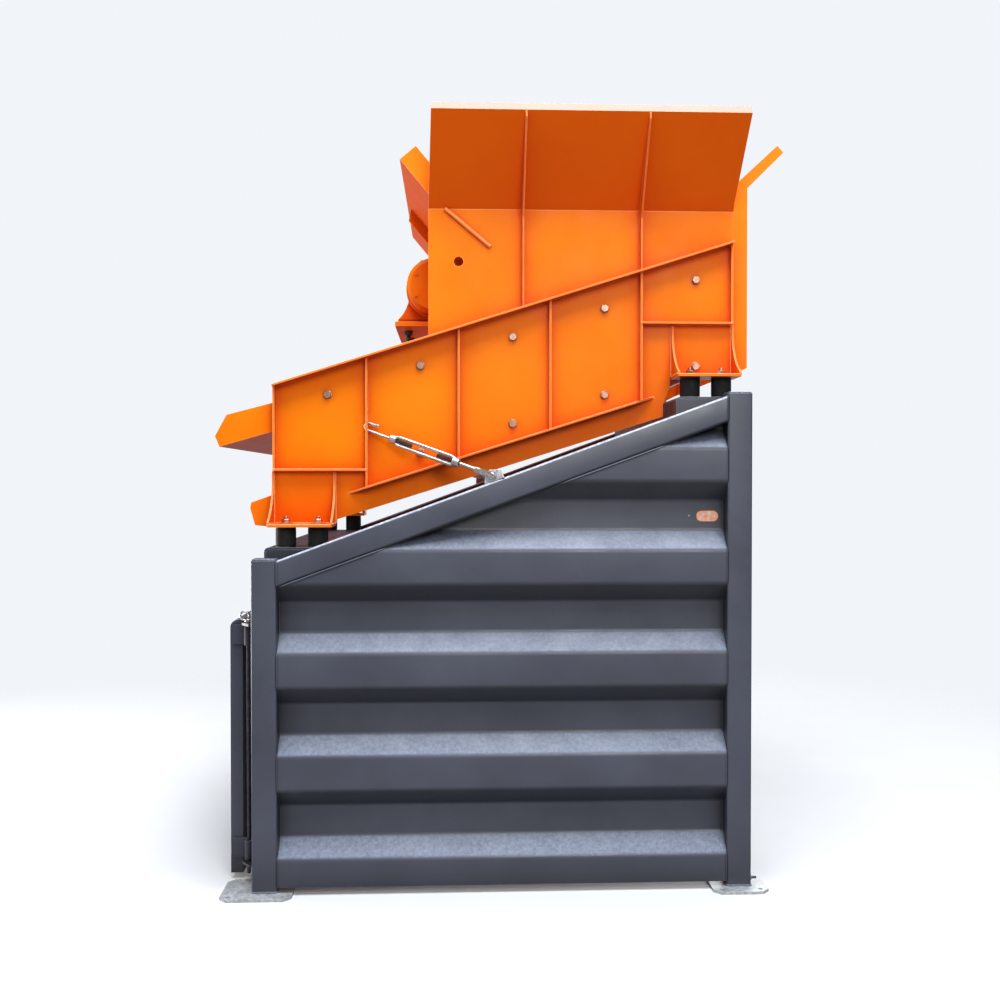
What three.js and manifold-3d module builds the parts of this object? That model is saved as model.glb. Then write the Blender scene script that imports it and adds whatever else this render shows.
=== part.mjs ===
// Static two-deck vibrating screener, fed by a wheel loader from the high end.
//
// A sprung screen box with a flared hopper stands on eight rubber buffers. The buffers stand on two
// cross beams of a welded tube frame with corrugated side walls. Fines fall into the bay between
// the walls, and the two coarser grades leave over the chutes at the low end.
//
// Millimetres. +X points to the high (feed) end, -Y is the near side, +Z is up. The origin is on the
// ground under the middle of the machine. Every side piece is drawn for the near side, and its twin
// on the far side is its mirror image.

import * as THREE from 'three';
import { mergeVertices } from 'three/addons/utils/BufferGeometryUtils.js';
import Module from 'manifold-3d';

const wasm = await Module();
wasm.setup();

// ---------------------------------------------------------------- driving dimensions

const GAP = 0.3;                    // clearance left between touching pieces

// frame
const HALF_LENGTH = 1000;           // outside of the posts, along X
const HALF_WIDTH = 950;             // outside of the posts, along Y
const TUBE = 100;                   // square tube of the posts and rails
const TUBE_WALL = 5;
const LOW_POST_TOP = 1336;
const HIGH_POST_TOP = 2004;
const RAIL_LOW_TOP = 1330;          // rail's top edge at the low post
const RAIL_HIGH_TOP = 1988;         // rail's top edge at the high post
const BASE_PLATE_THICK = 12;
const BASE_PLATE_MARGIN = 62;       // base plate past the post on three sides
const LOW_PLATE_REACH = 120;        // base plate past the low post, towards the gate
const ANCHOR_HOLE_R = 9;

// corrugated walls
const SHEET_THICK = 4;
const CORRUGATION_PITCH = 409;
const CORRUGATION_DEPTH = 72;
const OUTER_FLAT = 133;
const FLANK_RISE = 76;
const FIRST_FLAT_TOP = 142;         // top of the lowest outer flat
const WALL_BOTTOM = 32;
const WALL_SETBACK = 2;             // outer flats behind the posts' outer faces

// cross beams and buffers
const BEAM_LENGTH_X = 264;
const BEAM_DEPTH = 120;
const BEAM_WALL = 8;
const LOW_BEAM_X = -964;            // beams' edges on the low side
const HIGH_BEAM_X = 711;
const LOW_BEAM_TOP = 1377;
const HIGH_BEAM_TOP = 1991;
const BUFFER_HEIGHT = 82;
const BUFFER_R = 43;
const BUFFER_SPACING = 131;
const BUFFER_OUT = 65;              // buffers' middle outside the side plate

// screen box
const SLOPE = Math.tan(THREE.MathUtils.degToRad(17.5));   // fall of both decks, towards -X
const BOX_LOW_X = -940;             // middle of the first rib
const RIB_PITCH = 381;
const RIB_COUNT = 6;
const BOX_LOW_TOP = 2044;           // side plate's top edge at its low end
const SIDE_DEPTH = 638;             // side plate, top edge to bottom edge, measured vertically
const SIDE_Y = 720;                 // outer faces of the side plates
const SIDE_THICK = 8;
const FLANGE_REACH = 62;            // top flange and bottom stiffener stand out this far
const RIB_REACH = 40;               // ribs and shelves stand out this far
const STIFFENER_DROP = 541;         // bottom stiffener below the top edge
const BOLT_START_X = -722;          // first cross pipe
const PIPE_PITCH = 385;
const PIPE_COUNT = 5;
const PIPE_R = 38;
const PIPE_BORE_R = 32;
const DECK_DROPS = { upper: 108, lower: 470 };            // cross pipes below the top edge
const BEARER_TOP = 50;              // bearer bars above the pipes' middle line
const BEARER_LINES = [-696, -418, -139, 139, 418, 696];
const BEARER_WIDTH = 16;
const BEARER_DEPTH = 15;
const SCREEN_THICK = 10;

// feet of the screen box
const FOOT_LENGTH = 262;
const FOOT_THICK = 12;
const FOOT_REACH = 150;
const GUSSET_TOP_REACH = 12;
const FOOT_HEIGHT = 229;            // underside of the foot to the shelf over it
const LOW_FOOT_X = -820;
const HIGH_FOOT_X = 846;

// hopper
const HOPPER_LOW_X = -304;
const HOPPER_HIGH_X = 977;
const HOPPER_THICK = 6;
const BEND_Z = 2778;
const FLARE_TOP_Z = 3113;
const FLARE_Y = 960;
const LIP_HEIGHT = 32;
const LIP_LEAN = 20;                // lip's top edge lies this far inside its bottom edge
const FLARE_TAPER = 16;             // flare's ends splay this much between bend and top
const HOPPER_RIBS = [90, 584];
const HOPPER_RIB_REACH = 38;
const HOLE_X = -178;                // round hole in the hopper's side
const HOLE_Z = 2561;
const REAR_X = 1037;
const REAR_TIP_X = 1190;
const FRONT_TIP_X = -423;
const FRONT_TIP_Z = 2984;
const FRONT_ANGLE = THREE.MathUtils.degToRad(50);
const FRONT_LIP_X = -120;

// vibrator motor
const MOTOR_X = -285;
const MOTOR_Z = 2535;
const MOTOR_R = 133;
const MOTOR_HALF = 210;             // half length of the housing along Y
const MOTOR_FOOT_Z = 2372;
const MOTOR_FOOT_HALF = 172;
const MOTOR_PLATE_THICK = 20;
const SHAFT_R = 30;
const BEARING_R = 60;
const BEARING_SPAN = [-205, -172];
const STATOR_R = 99;
const STATOR_HALF = 105;
const ROTOR_R = 64;
const WEIGHT_SPAN = [-296, -236];

// gate at the low end
const GATE_X = -1070;               // inner face
const GATE_THICK = 50;
const GATE_HALF_WIDTH = 750;
const GATE_BOTTOM = 26;
const GATE_TOP = 1073;
const HINGE_X = -1040;
const HINGE_Y = -785;
const HINGE_ROD_R = 8;
const KNUCKLE_HEIGHT = 80;
const KNUCKLE_BOTTOMS = [92, 974];
const BRACKET_BOTTOMS = { low: 80, high: 1058 };
const BRACKET_THICK = 10;

// turnbuckle ties between the frame and the box
const HOOK_AT = new THREE.Vector3(-559, -735, 1857);   // shank's middle line at the rib
const PIN_AT = new THREE.Vector3(-42, -930, 1667);
const TIE_BODY_START = 112;         // along the tie, from the hook
const TIE_BODY_END = 432;
const TIE_ROD_R = 6.5;

// ---------------------------------------------------------------- materials

const paint = {
  orange: { color: 0xf07810, roughness: 0.4, metalness: 0.0 },
  grey: { color: 0x50545f, roughness: 0.45, metalness: 0.0 },
  zinc: { color: 0xb9bcbf, roughness: 0.35, metalness: 0.9 },
  steel: { color: 0x8d8f91, roughness: 0.4, metalness: 0.9 },
  rubber: { color: 0x111111, roughness: 0.85, metalness: 0.0 },
  copper: { color: 0x9a5a34, roughness: 0.5, metalness: 0.6 },
};

// ---------------------------------------------------------------- geometry helpers

const box = (x0, x1, y0, y1, z0, z1) => {
  const geometry = new THREE.BoxGeometry(x1 - x0, y1 - y0, z1 - z0);
  return geometry.translate((x0 + x1) / 2, (y0 + y1) / 2, (z0 + z1) / 2);
};

const shapeOf = (points) => new THREE.Shape(points.map(([a, b]) => new THREE.Vector2(a, b)));

const extrude = (shape, depth, curveSegments = 8) =>
  new THREE.ExtrudeGeometry(shape, { depth, curveSegments, bevelEnabled: false });

// Outline in X and Z, swept along Y.
const prismY = (outline, y0, y1) => {
  const shape = outline instanceof THREE.Shape ? outline : shapeOf(outline);
  return extrude(shape, y1 - y0).rotateX(Math.PI / 2).translate(0, y1, 0);
};

// Outline in Y and Z, swept along X.
const prismX = (outline, x0, x1) => {
  const shape = outline instanceof THREE.Shape ? outline : shapeOf(outline);
  const turn = new THREE.Matrix4().makeBasis(
    new THREE.Vector3(0, 1, 0), new THREE.Vector3(0, 0, 1), new THREE.Vector3(1, 0, 0));
  return extrude(shape, x1 - x0).applyMatrix4(turn).translate(x0, 0, 0);
};

// Outline in X and Y, swept along Z.
const prismZ = (outline, z0, z1) => {
  const shape = outline instanceof THREE.Shape ? outline : shapeOf(outline);
  return extrude(shape, z1 - z0, 5).translate(0, 0, z0);
};

const cylinderY = (x, z, radius, y0, y1, sides = 24) =>
  new THREE.CylinderGeometry(radius, radius, y1 - y0, sides).translate(x, (y0 + y1) / 2, z);

const cylinderZ = (x, y, radius, z0, z1, sides = 14) =>
  new THREE.CylinderGeometry(radius, radius, z1 - z0, sides)
    .rotateX(Math.PI / 2).translate(x, y, (z0 + z1) / 2);

const toSolid = (geometry) => {
  const plain = geometry.clone();
  plain.deleteAttribute('normal');
  plain.deleteAttribute('uv');
  const merged = mergeVertices(plain, 1e-3);
  return new wasm.Manifold(new wasm.Mesh({
    numProp: 3,
    vertProperties: new Float32Array(merged.attributes.position.array),
    triVerts: new Uint32Array(merged.index.array),
  }));
};

const toGeometry = (solid) => {
  const mesh = solid.getMesh();
  const geometry = new THREE.BufferGeometry();
  geometry.setAttribute('position', new THREE.BufferAttribute(mesh.vertProperties, 3));
  geometry.setIndex(new THREE.BufferAttribute(mesh.triVerts, 1));
  return geometry;
};

const join = (...pieces) => toGeometry(pieces.map(toSolid).reduce((a, b) => a.add(b)));

const cut = (piece, ...tools) =>
  toGeometry(tools.map(toSolid).reduce((a, b) => a.subtract(b), toSolid(piece)));

// Mirror image across the middle plane, with its faces turned the right way out again.
const mirrored = (geometry) => {
  const plain = geometry.clone();
  plain.deleteAttribute('normal');
  plain.deleteAttribute('uv');
  const twin = mergeVertices(plain, 1e-3).scale(1, -1, 1);
  const corners = twin.index.array;
  for (let i = 0; i < corners.length; i += 3) {
    [corners[i], corners[i + 1]] = [corners[i + 1], corners[i]];
  }
  return twin;
};

// ---------------------------------------------------------------- lines that pieces follow

const railSlope = (RAIL_HIGH_TOP - RAIL_LOW_TOP) / (2 * (HALF_LENGTH - TUBE));
const railRise = Math.hypot(1, railSlope);
const railTop = (x) => RAIL_LOW_TOP + (x + HALF_LENGTH - TUBE) * railSlope;
const railUnderside = (x) => railTop(x) - TUBE * railRise;
const boxTop = (x) => BOX_LOW_TOP + (x - BOX_LOW_X) * SLOPE;
const boxHighX = BOX_LOW_X + RIB_PITCH * (RIB_COUNT - 1);
const innerY = SIDE_Y - SIDE_THICK;
const lowFootZ = LOW_BEAM_TOP + BUFFER_HEIGHT;
const highFootZ = HIGH_BEAM_TOP + BUFFER_HEIGHT;

// A strip that follows the deck's slope: a parallelogram in X and Z.
const sloped = (x0, x1, below0, below1) => [
  [x0, boxTop(x0) - below1], [x1, boxTop(x1) - below1],
  [x1, boxTop(x1) - below0], [x0, boxTop(x0) - below0],
];

// Tips a level plate to the deck's slope, at a distance below the side plate's top edge.
const deckShear = (below) => new THREE.Matrix4().set(
  1, 0, 0, 0,
  0, 1, 0, 0,
  SLOPE, 0, 1, boxTop(0) - below,
  0, 0, 0, 1);

// ---------------------------------------------------------------- frame pieces

const roundHole = (shape, x, y, radius) => {
  const hole = new THREE.Path();
  hole.absarc(x, y, radius, 0, 2 * Math.PI, true);
  shape.holes.push(hole);
};

const post = (x0, top) => {
  const bottom = BASE_PLATE_THICK + GAP;
  const outside = box(x0, x0 + TUBE, -HALF_WIDTH, TUBE - HALF_WIDTH, bottom, top);
  const inside = box(x0 + TUBE_WALL, x0 + TUBE - TUBE_WALL, TUBE_WALL - HALF_WIDTH,
    TUBE - TUBE_WALL - HALF_WIDTH, bottom - TUBE, top - TUBE_WALL);
  return cut(outside, inside);
};

const basePlate = (x0, x1) => {
  const y0 = -HALF_WIDTH - BASE_PLATE_MARGIN;
  const y1 = -HALF_WIDTH + TUBE + BASE_PLATE_MARGIN;
  const corner = 30;
  const holeInX = 34;
  const holeInY = 28;
  const shape = shapeOf([
    [x0 + corner, y0], [x1 - corner, y0], [x1, y0 + corner], [x1, y1 - corner],
    [x1 - corner, y1], [x0 + corner, y1], [x0, y1 - corner], [x0, y0 + corner],
  ]);
  for (const x of [x0 + holeInX, x1 - holeInX]) {
    for (const y of [y0 + holeInY, y1 - holeInY]) {
      roundHole(shape, x, y, ANCHOR_HOLE_R);
    }
  }
  return prismZ(shape, 0, BASE_PLATE_THICK);
};

const rail = () => {
  const x0 = -HALF_LENGTH + TUBE + GAP;
  const x1 = -x0;
  const past = 20;
  const wall = TUBE_WALL * railRise;
  const outside = prismY([
    [x0, railUnderside(x0)], [x1, railUnderside(x1)], [x1, railTop(x1)], [x0, railTop(x0)],
  ], -HALF_WIDTH, TUBE - HALF_WIDTH);
  const inside = prismY([
    [x0 - past, railUnderside(x0 - past) + wall], [x1 + past, railUnderside(x1 + past) + wall],
    [x1 + past, railTop(x1 + past) - wall], [x0 - past, railTop(x0 - past) - wall],
  ], TUBE_WALL - HALF_WIDTH, TUBE - TUBE_WALL - HALF_WIDTH);
  return cut(outside, inside);
};

// The sheet's section, from the ground up: outer flat, flank in, inner flat, flank out.
const corrugatedWall = () => {
  const outerY = -HALF_WIDTH + WALL_SETBACK;
  const innerFlatY = outerY + CORRUGATION_DEPTH - SHEET_THICK;
  const line = [[outerY, WALL_BOTTOM]];
  for (let flatTop = FIRST_FLAT_TOP; flatTop < HIGH_POST_TOP; flatTop += CORRUGATION_PITCH) {
    const nextFlat = flatTop + CORRUGATION_PITCH - OUTER_FLAT;
    line.push([outerY, flatTop], [innerFlatY, flatTop + FLANK_RISE]);
    line.push([innerFlatY, nextFlat - FLANK_RISE], [outerY, nextFlat]);
  }
  const back = line.map(([y, z]) => [y + SHEET_THICK, z]).reverse();
  const x0 = -HALF_LENGTH + TUBE + GAP;
  const sheet = prismX([...line, ...back], x0, -x0);
  const far = HALF_LENGTH;
  const above = prismY([
    [-far, railUnderside(-far) - 1], [far, railUnderside(far) - 1],
    [far, HIGH_POST_TOP + TUBE], [-far, HIGH_POST_TOP + TUBE],
  ], -HALF_WIDTH - TUBE, TUBE - HALF_WIDTH);
  return cut(sheet, above);
};

// Cross beam under the buffers: a deep pressed channel, open below, with closed ends.
const bufferBeam = (x0, top) => {
  const y = HALF_WIDTH - TUBE - GAP;
  const x1 = x0 + BEAM_LENGTH_X;
  const outside = box(x0, x1, -y, y, top - BEAM_DEPTH, top);
  const inside = box(x0 + BEAM_WALL, x1 - BEAM_WALL, -y + BEAM_WALL, y - BEAM_WALL,
    top - 2 * BEAM_DEPTH, top - BEAM_WALL);
  return cut(outside, inside);
};

// Rubber buffer: an upright round block.
const buffer = (x, y, bottom) =>
  cylinderZ(x, y, BUFFER_R, bottom + GAP, bottom + BUFFER_HEIGHT - GAP);

// ---------------------------------------------------------------- gate

const knuckle = (z0, z1) => {
  const radius = 17;
  const edgeY = -GATE_HALF_WIDTH;
  return [
    cylinderZ(HINGE_X, HINGE_Y, radius, z0, z1),
    box(HINGE_X - radius, HINGE_X - 5, HINGE_Y, edgeY, z0, z1),
    box(GATE_X - 40, HINGE_X - 5, edgeY - 8, edgeY, z0, z1),
  ];
};

// Leaf: a folded pan, open towards the bay, with three stiffening webs and two hinge knuckles.
const gateLeaf = () => {
  const corner = 30;
  const outside = GATE_X - GATE_THICK;
  const sheet = 4;
  const edge = new THREE.Shape();
  edge.moveTo(outside, GATE_BOTTOM);
  edge.lineTo(GATE_X, GATE_BOTTOM);
  edge.lineTo(GATE_X, GATE_TOP);
  edge.lineTo(outside + corner, GATE_TOP);
  edge.absarc(outside + corner, GATE_TOP - corner, corner, Math.PI / 2, Math.PI, false);
  const slab = prismY(edge, -GATE_HALF_WIDTH, GATE_HALF_WIDTH);
  const bays = 4;
  const bayWidth = (2 * GATE_HALF_WIDTH - sheet) / bays;
  const pockets = [];
  for (let i = 0; i < bays; i += 1) {
    const y0 = -GATE_HALF_WIDTH + sheet + i * bayWidth;
    pockets.push(box(outside + sheet, GATE_X + sheet, y0, y0 + bayWidth - sheet,
      GATE_BOTTOM + sheet, GATE_TOP - corner - sheet));
  }
  const pan = cut(slab, ...pockets);
  const leaf = join(pan, ...KNUCKLE_BOTTOMS.flatMap((z) => knuckle(z, z + KNUCKLE_HEIGHT)));
  return cut(leaf, cylinderZ(HINGE_X, HINGE_Y, HINGE_ROD_R + 0.8, 0, GATE_TOP + TUBE));
};

const hingeBracket = (z0) => {
  const half = 22;
  const tail = 42;                  // plate's length past the rod's eye, towards -Y
  const y0 = HINGE_Y - half - tail;
  const z1 = z0 + BRACKET_THICK;
  const plate = box(HINGE_X - half, -HALF_LENGTH - GAP, y0, HINGE_Y + half, z0, z1);
  const corner = prismZ([
    [HINGE_X - half - 1, y0 - 1], [HINGE_X + 12, y0 - 1], [HINGE_X - half - 1, HINGE_Y - half + 4],
  ], z0 - 1, z1 + 1);
  return cut(plate, corner, cylinderZ(HINGE_X, HINGE_Y, HINGE_ROD_R + 0.5, z0 - 1, z1 + 1));
};

const hingeRod = () => {
  const headZ = BRACKET_BOTTOMS.high + BRACKET_THICK + GAP;
  const headThick = 12;
  const tail = 45;                  // rod below the low bracket
  return join(
    cylinderZ(HINGE_X, HINGE_Y, HINGE_ROD_R, BRACKET_BOTTOMS.low - tail, headZ + headThick + 2),
    cylinderZ(HINGE_X, HINGE_Y, HINGE_ROD_R + 6, headZ, headZ + headThick),
  );
};

// ---------------------------------------------------------------- screen box

const ribX = (i) => BOX_LOW_X + i * RIB_PITCH;

// Side weldment: plate, top flange, six ribs, bottom stiffener and the shelves over the feet.
const sideWeldment = () => {
  const half = SIDE_THICK / 2;
  const flangeY = -SIDE_Y - FLANGE_REACH;
  const ribY = -SIDE_Y - RIB_REACH;
  const plateBottomLow = lowFootZ + FOOT_THICK + GAP;
  const plateBottomHigh = highFootZ + FOOT_THICK + GAP;
  const notchX = HIGH_BEAM_X - 30;  // plate's lower edge steps up round the high beam
  const notchLow = HIGH_BEAM_TOP - 20;
  const notchHigh = HIGH_BEAM_TOP + 55;
  const bottomEdge = (x) => boxTop(x) - SIDE_DEPTH;
  const turnX = BOX_LOW_X + (plateBottomLow - bottomEdge(BOX_LOW_X)) / SLOPE;
  const plate = prismY([
    [BOX_LOW_X - half, plateBottomLow], [turnX, plateBottomLow],
    [notchX, bottomEdge(notchX)], [notchX, notchLow],
    [HIGH_BEAM_X, notchHigh], [HIGH_BEAM_X, plateBottomHigh],
    [boxHighX + half, plateBottomHigh],
    [boxHighX + half, boxTop(boxHighX + half)], [BOX_LOW_X - half, boxTop(BOX_LOW_X - half)],
  ], -SIDE_Y, -innerY);
  const flange = prismY(sloped(BOX_LOW_X - half, boxHighX + half, 0, SIDE_THICK), flangeY, -innerY);
  const shelfLow = lowFootZ + FOOT_HEIGHT;
  const shelfHigh = highFootZ + FOOT_HEIGHT;
  const ribBottom = (i) => {
    const shelves = { 0: shelfLow, [RIB_COUNT - 1]: shelfHigh };
    return shelves[i] ?? boxTop(ribX(i)) - STIFFENER_DROP - 4;
  };
  const ribs = [];
  for (let i = 0; i < RIB_COUNT; i += 1) {
    const x = ribX(i);
    ribs.push(box(x - half, x + half, ribY + 2, -SIDE_Y + 1, ribBottom(i), boxTop(x) - half));
  }
  const shelves = [
    box(ribX(0) - half, ribX(1) + half, ribY, -SIDE_Y + 1, shelfLow, shelfLow + SIDE_THICK),
    box(ribX(4) - half, ribX(5) + half, ribY, -SIDE_Y + 1, shelfHigh, shelfHigh + SIDE_THICK),
  ];
  const stiffenerStart = -636;
  const stiffenerEnd = 644;
  const point = 90;
  const stiffener = prismZ([
    [stiffenerStart, -SIDE_Y + 1], [stiffenerStart + point, flangeY],
    [stiffenerEnd - point, flangeY], [stiffenerEnd, -SIDE_Y + 1],
  ], -SIDE_THICK, 0).applyMatrix4(deckShear(STIFFENER_DROP));
  const weldment = join(plate, flange, ...ribs, ...shelves, stiffener);
  const slotX = SIDE_THICK + 1;
  const slot = box(ribX(1) - slotX, ribX(1) + slotX, HOOK_AT.y - 12, HOOK_AT.y + 12,
    HOOK_AT.z - 22, HOOK_AT.z + 58);
  return cut(weldment, slot);
};

// Foot: base plate under the side plate with two curved gussets outside it.
const foot = (middleX, bottom) => {
  const x0 = middleX - FOOT_LENGTH / 2;
  const x1 = middleX + FOOT_LENGTH / 2;
  const outerY = -SIDE_Y - FOOT_REACH;
  const gussetTop = bottom + FOOT_HEIGHT - GAP;
  const plateTop = bottom + FOOT_THICK;
  const gusset = new THREE.Shape();
  gusset.moveTo(-SIDE_Y - GAP, plateTop - 2);
  gusset.lineTo(-SIDE_Y - GAP, gussetTop);
  gusset.lineTo(-SIDE_Y - GUSSET_TOP_REACH, gussetTop);
  gusset.quadraticCurveTo(-SIDE_Y - GUSSET_TOP_REACH, plateTop + 70, outerY + 4, plateTop + 10);
  gusset.lineTo(outerY + 4, plateTop - 2);
  return join(
    box(x0, x1, outerY, -innerY + 4, bottom, plateTop),
    prismX(gusset, x0, x0 + SIDE_THICK),
    prismX(gusset, x1 - SIDE_THICK, x1),
  );
};

// Deck frame: five cross pipes between the side plates, with six bearer bars along them.
const deckFrame = (drop) => {
  const x0 = BOX_LOW_X + 15;
  const x1 = boxHighX - 10;
  const bars = [];
  for (const y of BEARER_LINES) {
    bars.push(prismY(sloped(x0, x1, drop - BEARER_TOP, drop - BEARER_TOP + BEARER_DEPTH),
      y - BEARER_WIDTH / 2, y + BEARER_WIDTH / 2));
  }
  const pipes = [];
  const bores = [];
  const end = innerY - GAP;
  for (let i = 0; i < PIPE_COUNT; i += 1) {
    const x = BOLT_START_X + i * PIPE_PITCH;
    pipes.push(cylinderY(x, boxTop(x) - drop, PIPE_R, -end, end, 12));
    bores.push(cylinderY(x, boxTop(x) - drop, PIPE_BORE_R, -end - 5, end + 5, 12));
  }
  return cut(join(...pipes, ...bars), ...bores);
};

// Screen panel: a punched sheet, drawn as its lengthwise and crosswise strips.
const screenPanel = (drop, columns, rows) => {
  const x0 = BOX_LOW_X + 15;
  const x1 = boxHighX - 10;
  const y1 = innerY - 8;
  const below = drop - BEARER_TOP - GAP;
  const strip = 34;
  const stepX = (x1 - x0 - strip) / columns;
  const stepY = (2 * y1 - strip) / rows;
  const strips = [];
  for (let i = 0; i <= columns; i += 1) {
    strips.push(box(x0 + i * stepX, x0 + i * stepX + strip, -y1, y1, 0, SCREEN_THICK));
  }
  for (let j = 0; j <= rows; j += 1) {
    strips.push(box(x0, x1, -y1 + j * stepY, -y1 + j * stepY + strip, 0, SCREEN_THICK));
  }
  return join(...strips).applyMatrix4(deckShear(below));
};

// Discharge chute: floor with two cheeks, open towards -X.
const chute = (cheek, floor, halfWidth) => {
  const sheet = 6;
  return join(
    prismY(cheek, -halfWidth, -halfWidth + sheet),
    prismY(cheek, halfWidth - sheet, halfWidth),
    prismY(floor, -halfWidth + 1, halfWidth - 1),
  );
};

const chuteFloor = (x0, z0, x1, z1) => [[x0, z0], [x1, z1], [x1, z1 + 7], [x0, z0 + 7]];

// ---------------------------------------------------------------- hopper

const hopperSide = () => {
  const t = HOPPER_THICK;
  const low = boxTop(HOPPER_LOW_X) - 60;
  const lipTop = FLARE_TOP_Z + LIP_HEIGHT;
  const sheet = prismX([
    [-SIDE_Y, low], [-SIDE_Y + t, low], [-SIDE_Y + t, BEND_Z + 2], [-FLARE_Y + t, FLARE_TOP_Z + 2],
    [LIP_LEAN - FLARE_Y + t, lipTop], [LIP_LEAN - FLARE_Y, lipTop], [-FLARE_Y, FLARE_TOP_Z],
    [-SIDE_Y, BEND_Z],
  ], HOPPER_LOW_X, HOPPER_HIGH_X + FLARE_TAPER);
  const ribY = -SIDE_Y - HOPPER_RIB_REACH;
  const rib = (x) => prismX([
    [-SIDE_Y + 1, low], [ribY, low], [ribY, BEND_Z - 40],
    [-FLARE_Y + 2, FLARE_TOP_Z - 26], [-FLARE_Y + 2, FLARE_TOP_Z], [-SIDE_Y + 1, BEND_Z],
  ], x - t / 2, x + t / 2);
  const braceRun = 188;
  const braceRise = 156;
  const brace = new THREE.CylinderGeometry(9, 9, Math.hypot(braceRun, braceRise), 12)
    .rotateZ(Math.atan2(braceRun, braceRise)).rotateX(Math.PI / 2).translate(-140, -SIDE_Y - 6, 2700);
  const underBox = prismY([
    [-HALF_LENGTH, boxTop(-HALF_LENGTH) - 900], [HALF_LENGTH, boxTop(HALF_LENGTH) - 900],
    [HALF_LENGTH, boxTop(HALF_LENGTH) + GAP], [-HALF_LENGTH, boxTop(-HALF_LENGTH) + GAP],
  ], -HALF_LENGTH, 0);
  const past = 50;
  const lowEndCut = prismY([
    [HOPPER_LOW_X - past, BEND_Z], [HOPPER_LOW_X, BEND_Z], [HOPPER_LOW_X + FLARE_TAPER, FLARE_TOP_Z],
    [HOPPER_LOW_X + FLARE_TAPER, lipTop + past], [HOPPER_LOW_X - past, lipTop + past],
  ], -HALF_LENGTH, 0);
  const highEndCut = prismY([
    [HOPPER_HIGH_X, low], [HOPPER_HIGH_X + past, low], [HOPPER_HIGH_X + past, lipTop + past],
    [HOPPER_HIGH_X + FLARE_TAPER, lipTop + past], [HOPPER_HIGH_X + FLARE_TAPER, FLARE_TOP_Z],
    [HOPPER_HIGH_X, BEND_Z + 30],
  ], -HALF_LENGTH, 0);
  const hole = cylinderY(HOLE_X, HOLE_Z, 20, -SIDE_Y - 50, -SIDE_Y + 50, 16);
  return cut(join(sheet, ...HOPPER_RIBS.map(rib), brace), underBox, lowEndCut, highEndCut, hole);
};

// Rear wall: sheet with a flared top and folded tip, and a cheek at each end.
const rearWall = () => {
  const t = HOPPER_THICK;
  const low = 2094;
  const bendZ = 2880;
  const tipZ = 3030;
  const half = SIDE_Y;
  const sheet = prismY([
    [REAR_X - t, low + 26], [REAR_X, low + 29], [REAR_X, bendZ], [REAR_TIP_X, tipZ],
    [REAR_TIP_X - 26, tipZ + 28], [REAR_TIP_X - 30, tipZ + 24], [REAR_TIP_X - 9, tipZ],
    [REAR_X - t, bendZ + 3],
  ], -half, half);
  const cheek = [
    [HOPPER_HIGH_X + GAP, low], [REAR_X, low + 29], [REAR_X, bendZ], [REAR_TIP_X, tipZ],
    [REAR_TIP_X - 26, tipZ + 28], [REAR_X - 21, bendZ + 41], [HOPPER_HIGH_X + GAP, bendZ + 4],
  ];
  return join(sheet, prismY(cheek, -half, -half + t), prismY(cheek, half - t, half));
};

// Front wall of the hopper: a sloping sheet that ends in an upright lip over the deck.
const frontWall = () => {
  const t = HOPPER_THICK;
  const half = SIDE_Y - HOPPER_THICK - GAP;
  const along = new THREE.Vector2(Math.cos(FRONT_ANGLE), -Math.sin(FRONT_ANGLE));
  const inward = new THREE.Vector2(Math.sin(FRONT_ANGLE), Math.cos(FRONT_ANGLE));
  const tip = new THREE.Vector2(FRONT_TIP_X, FRONT_TIP_Z);
  const length = (FRONT_LIP_X - FRONT_TIP_X) / along.x;
  const at = (s, n) => {
    const p = tip.clone().addScaledVector(along, s).addScaledVector(inward, n);
    return [p.x, p.y];
  };
  const [, lipZ] = at(length, 0);
  const lipBottom = lipZ - 110;
  const cheekWidth = 88;
  const fold = cheekWidth - 30;
  const ribDepth = 48;
  const sheet = prismY([
    at(0, 0), [FRONT_LIP_X, lipZ], [FRONT_LIP_X, lipBottom], [FRONT_LIP_X + t, lipBottom],
    [FRONT_LIP_X + t, lipZ + 3], at(t, t), at(t, fold), at(0, fold),
  ], -half, half);
  const cheek = [at(0, 0), at(length, 0), at(length, 30), at(length - 190, cheekWidth), at(0, cheekWidth)];
  const rib = [at(30, 1), at(70, -ribDepth), at(length - 90, -ribDepth), at(length - 50, 1)];
  return join(sheet, prismY(cheek, -half, -half + t), prismY(cheek, half - t, half), prismY(rib, -4, 4));
};

// ---------------------------------------------------------------- vibrator

// Bridge: a thick motor plate on a pressed channel that runs between the hopper's sides.
const motorBridge = () => {
  const plateTop = MOTOR_FOOT_Z - GAP;
  const plateBottom = plateTop - MOTOR_PLATE_THICK;
  const plateX = MOTOR_FOOT_HALF + 8;
  const plateY = 300;
  const beamX0 = MOTOR_X - 10;
  const beamX1 = MOTOR_X + 130;
  const beamBottom = plateBottom - 45;
  const half = SIDE_Y - HOPPER_THICK - GAP;
  const wall = 8;
  const plate = box(MOTOR_X - plateX, MOTOR_X + plateX, -plateY, plateY, plateBottom, plateTop);
  const channel = cut(
    box(beamX0, beamX1, -half, half, beamBottom, plateBottom + 1),
    box(beamX0 + wall, beamX1 - wall, -half + wall, half - wall, beamBottom - 50, plateBottom - wall),
  );
  return join(plate, channel);
};

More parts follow.
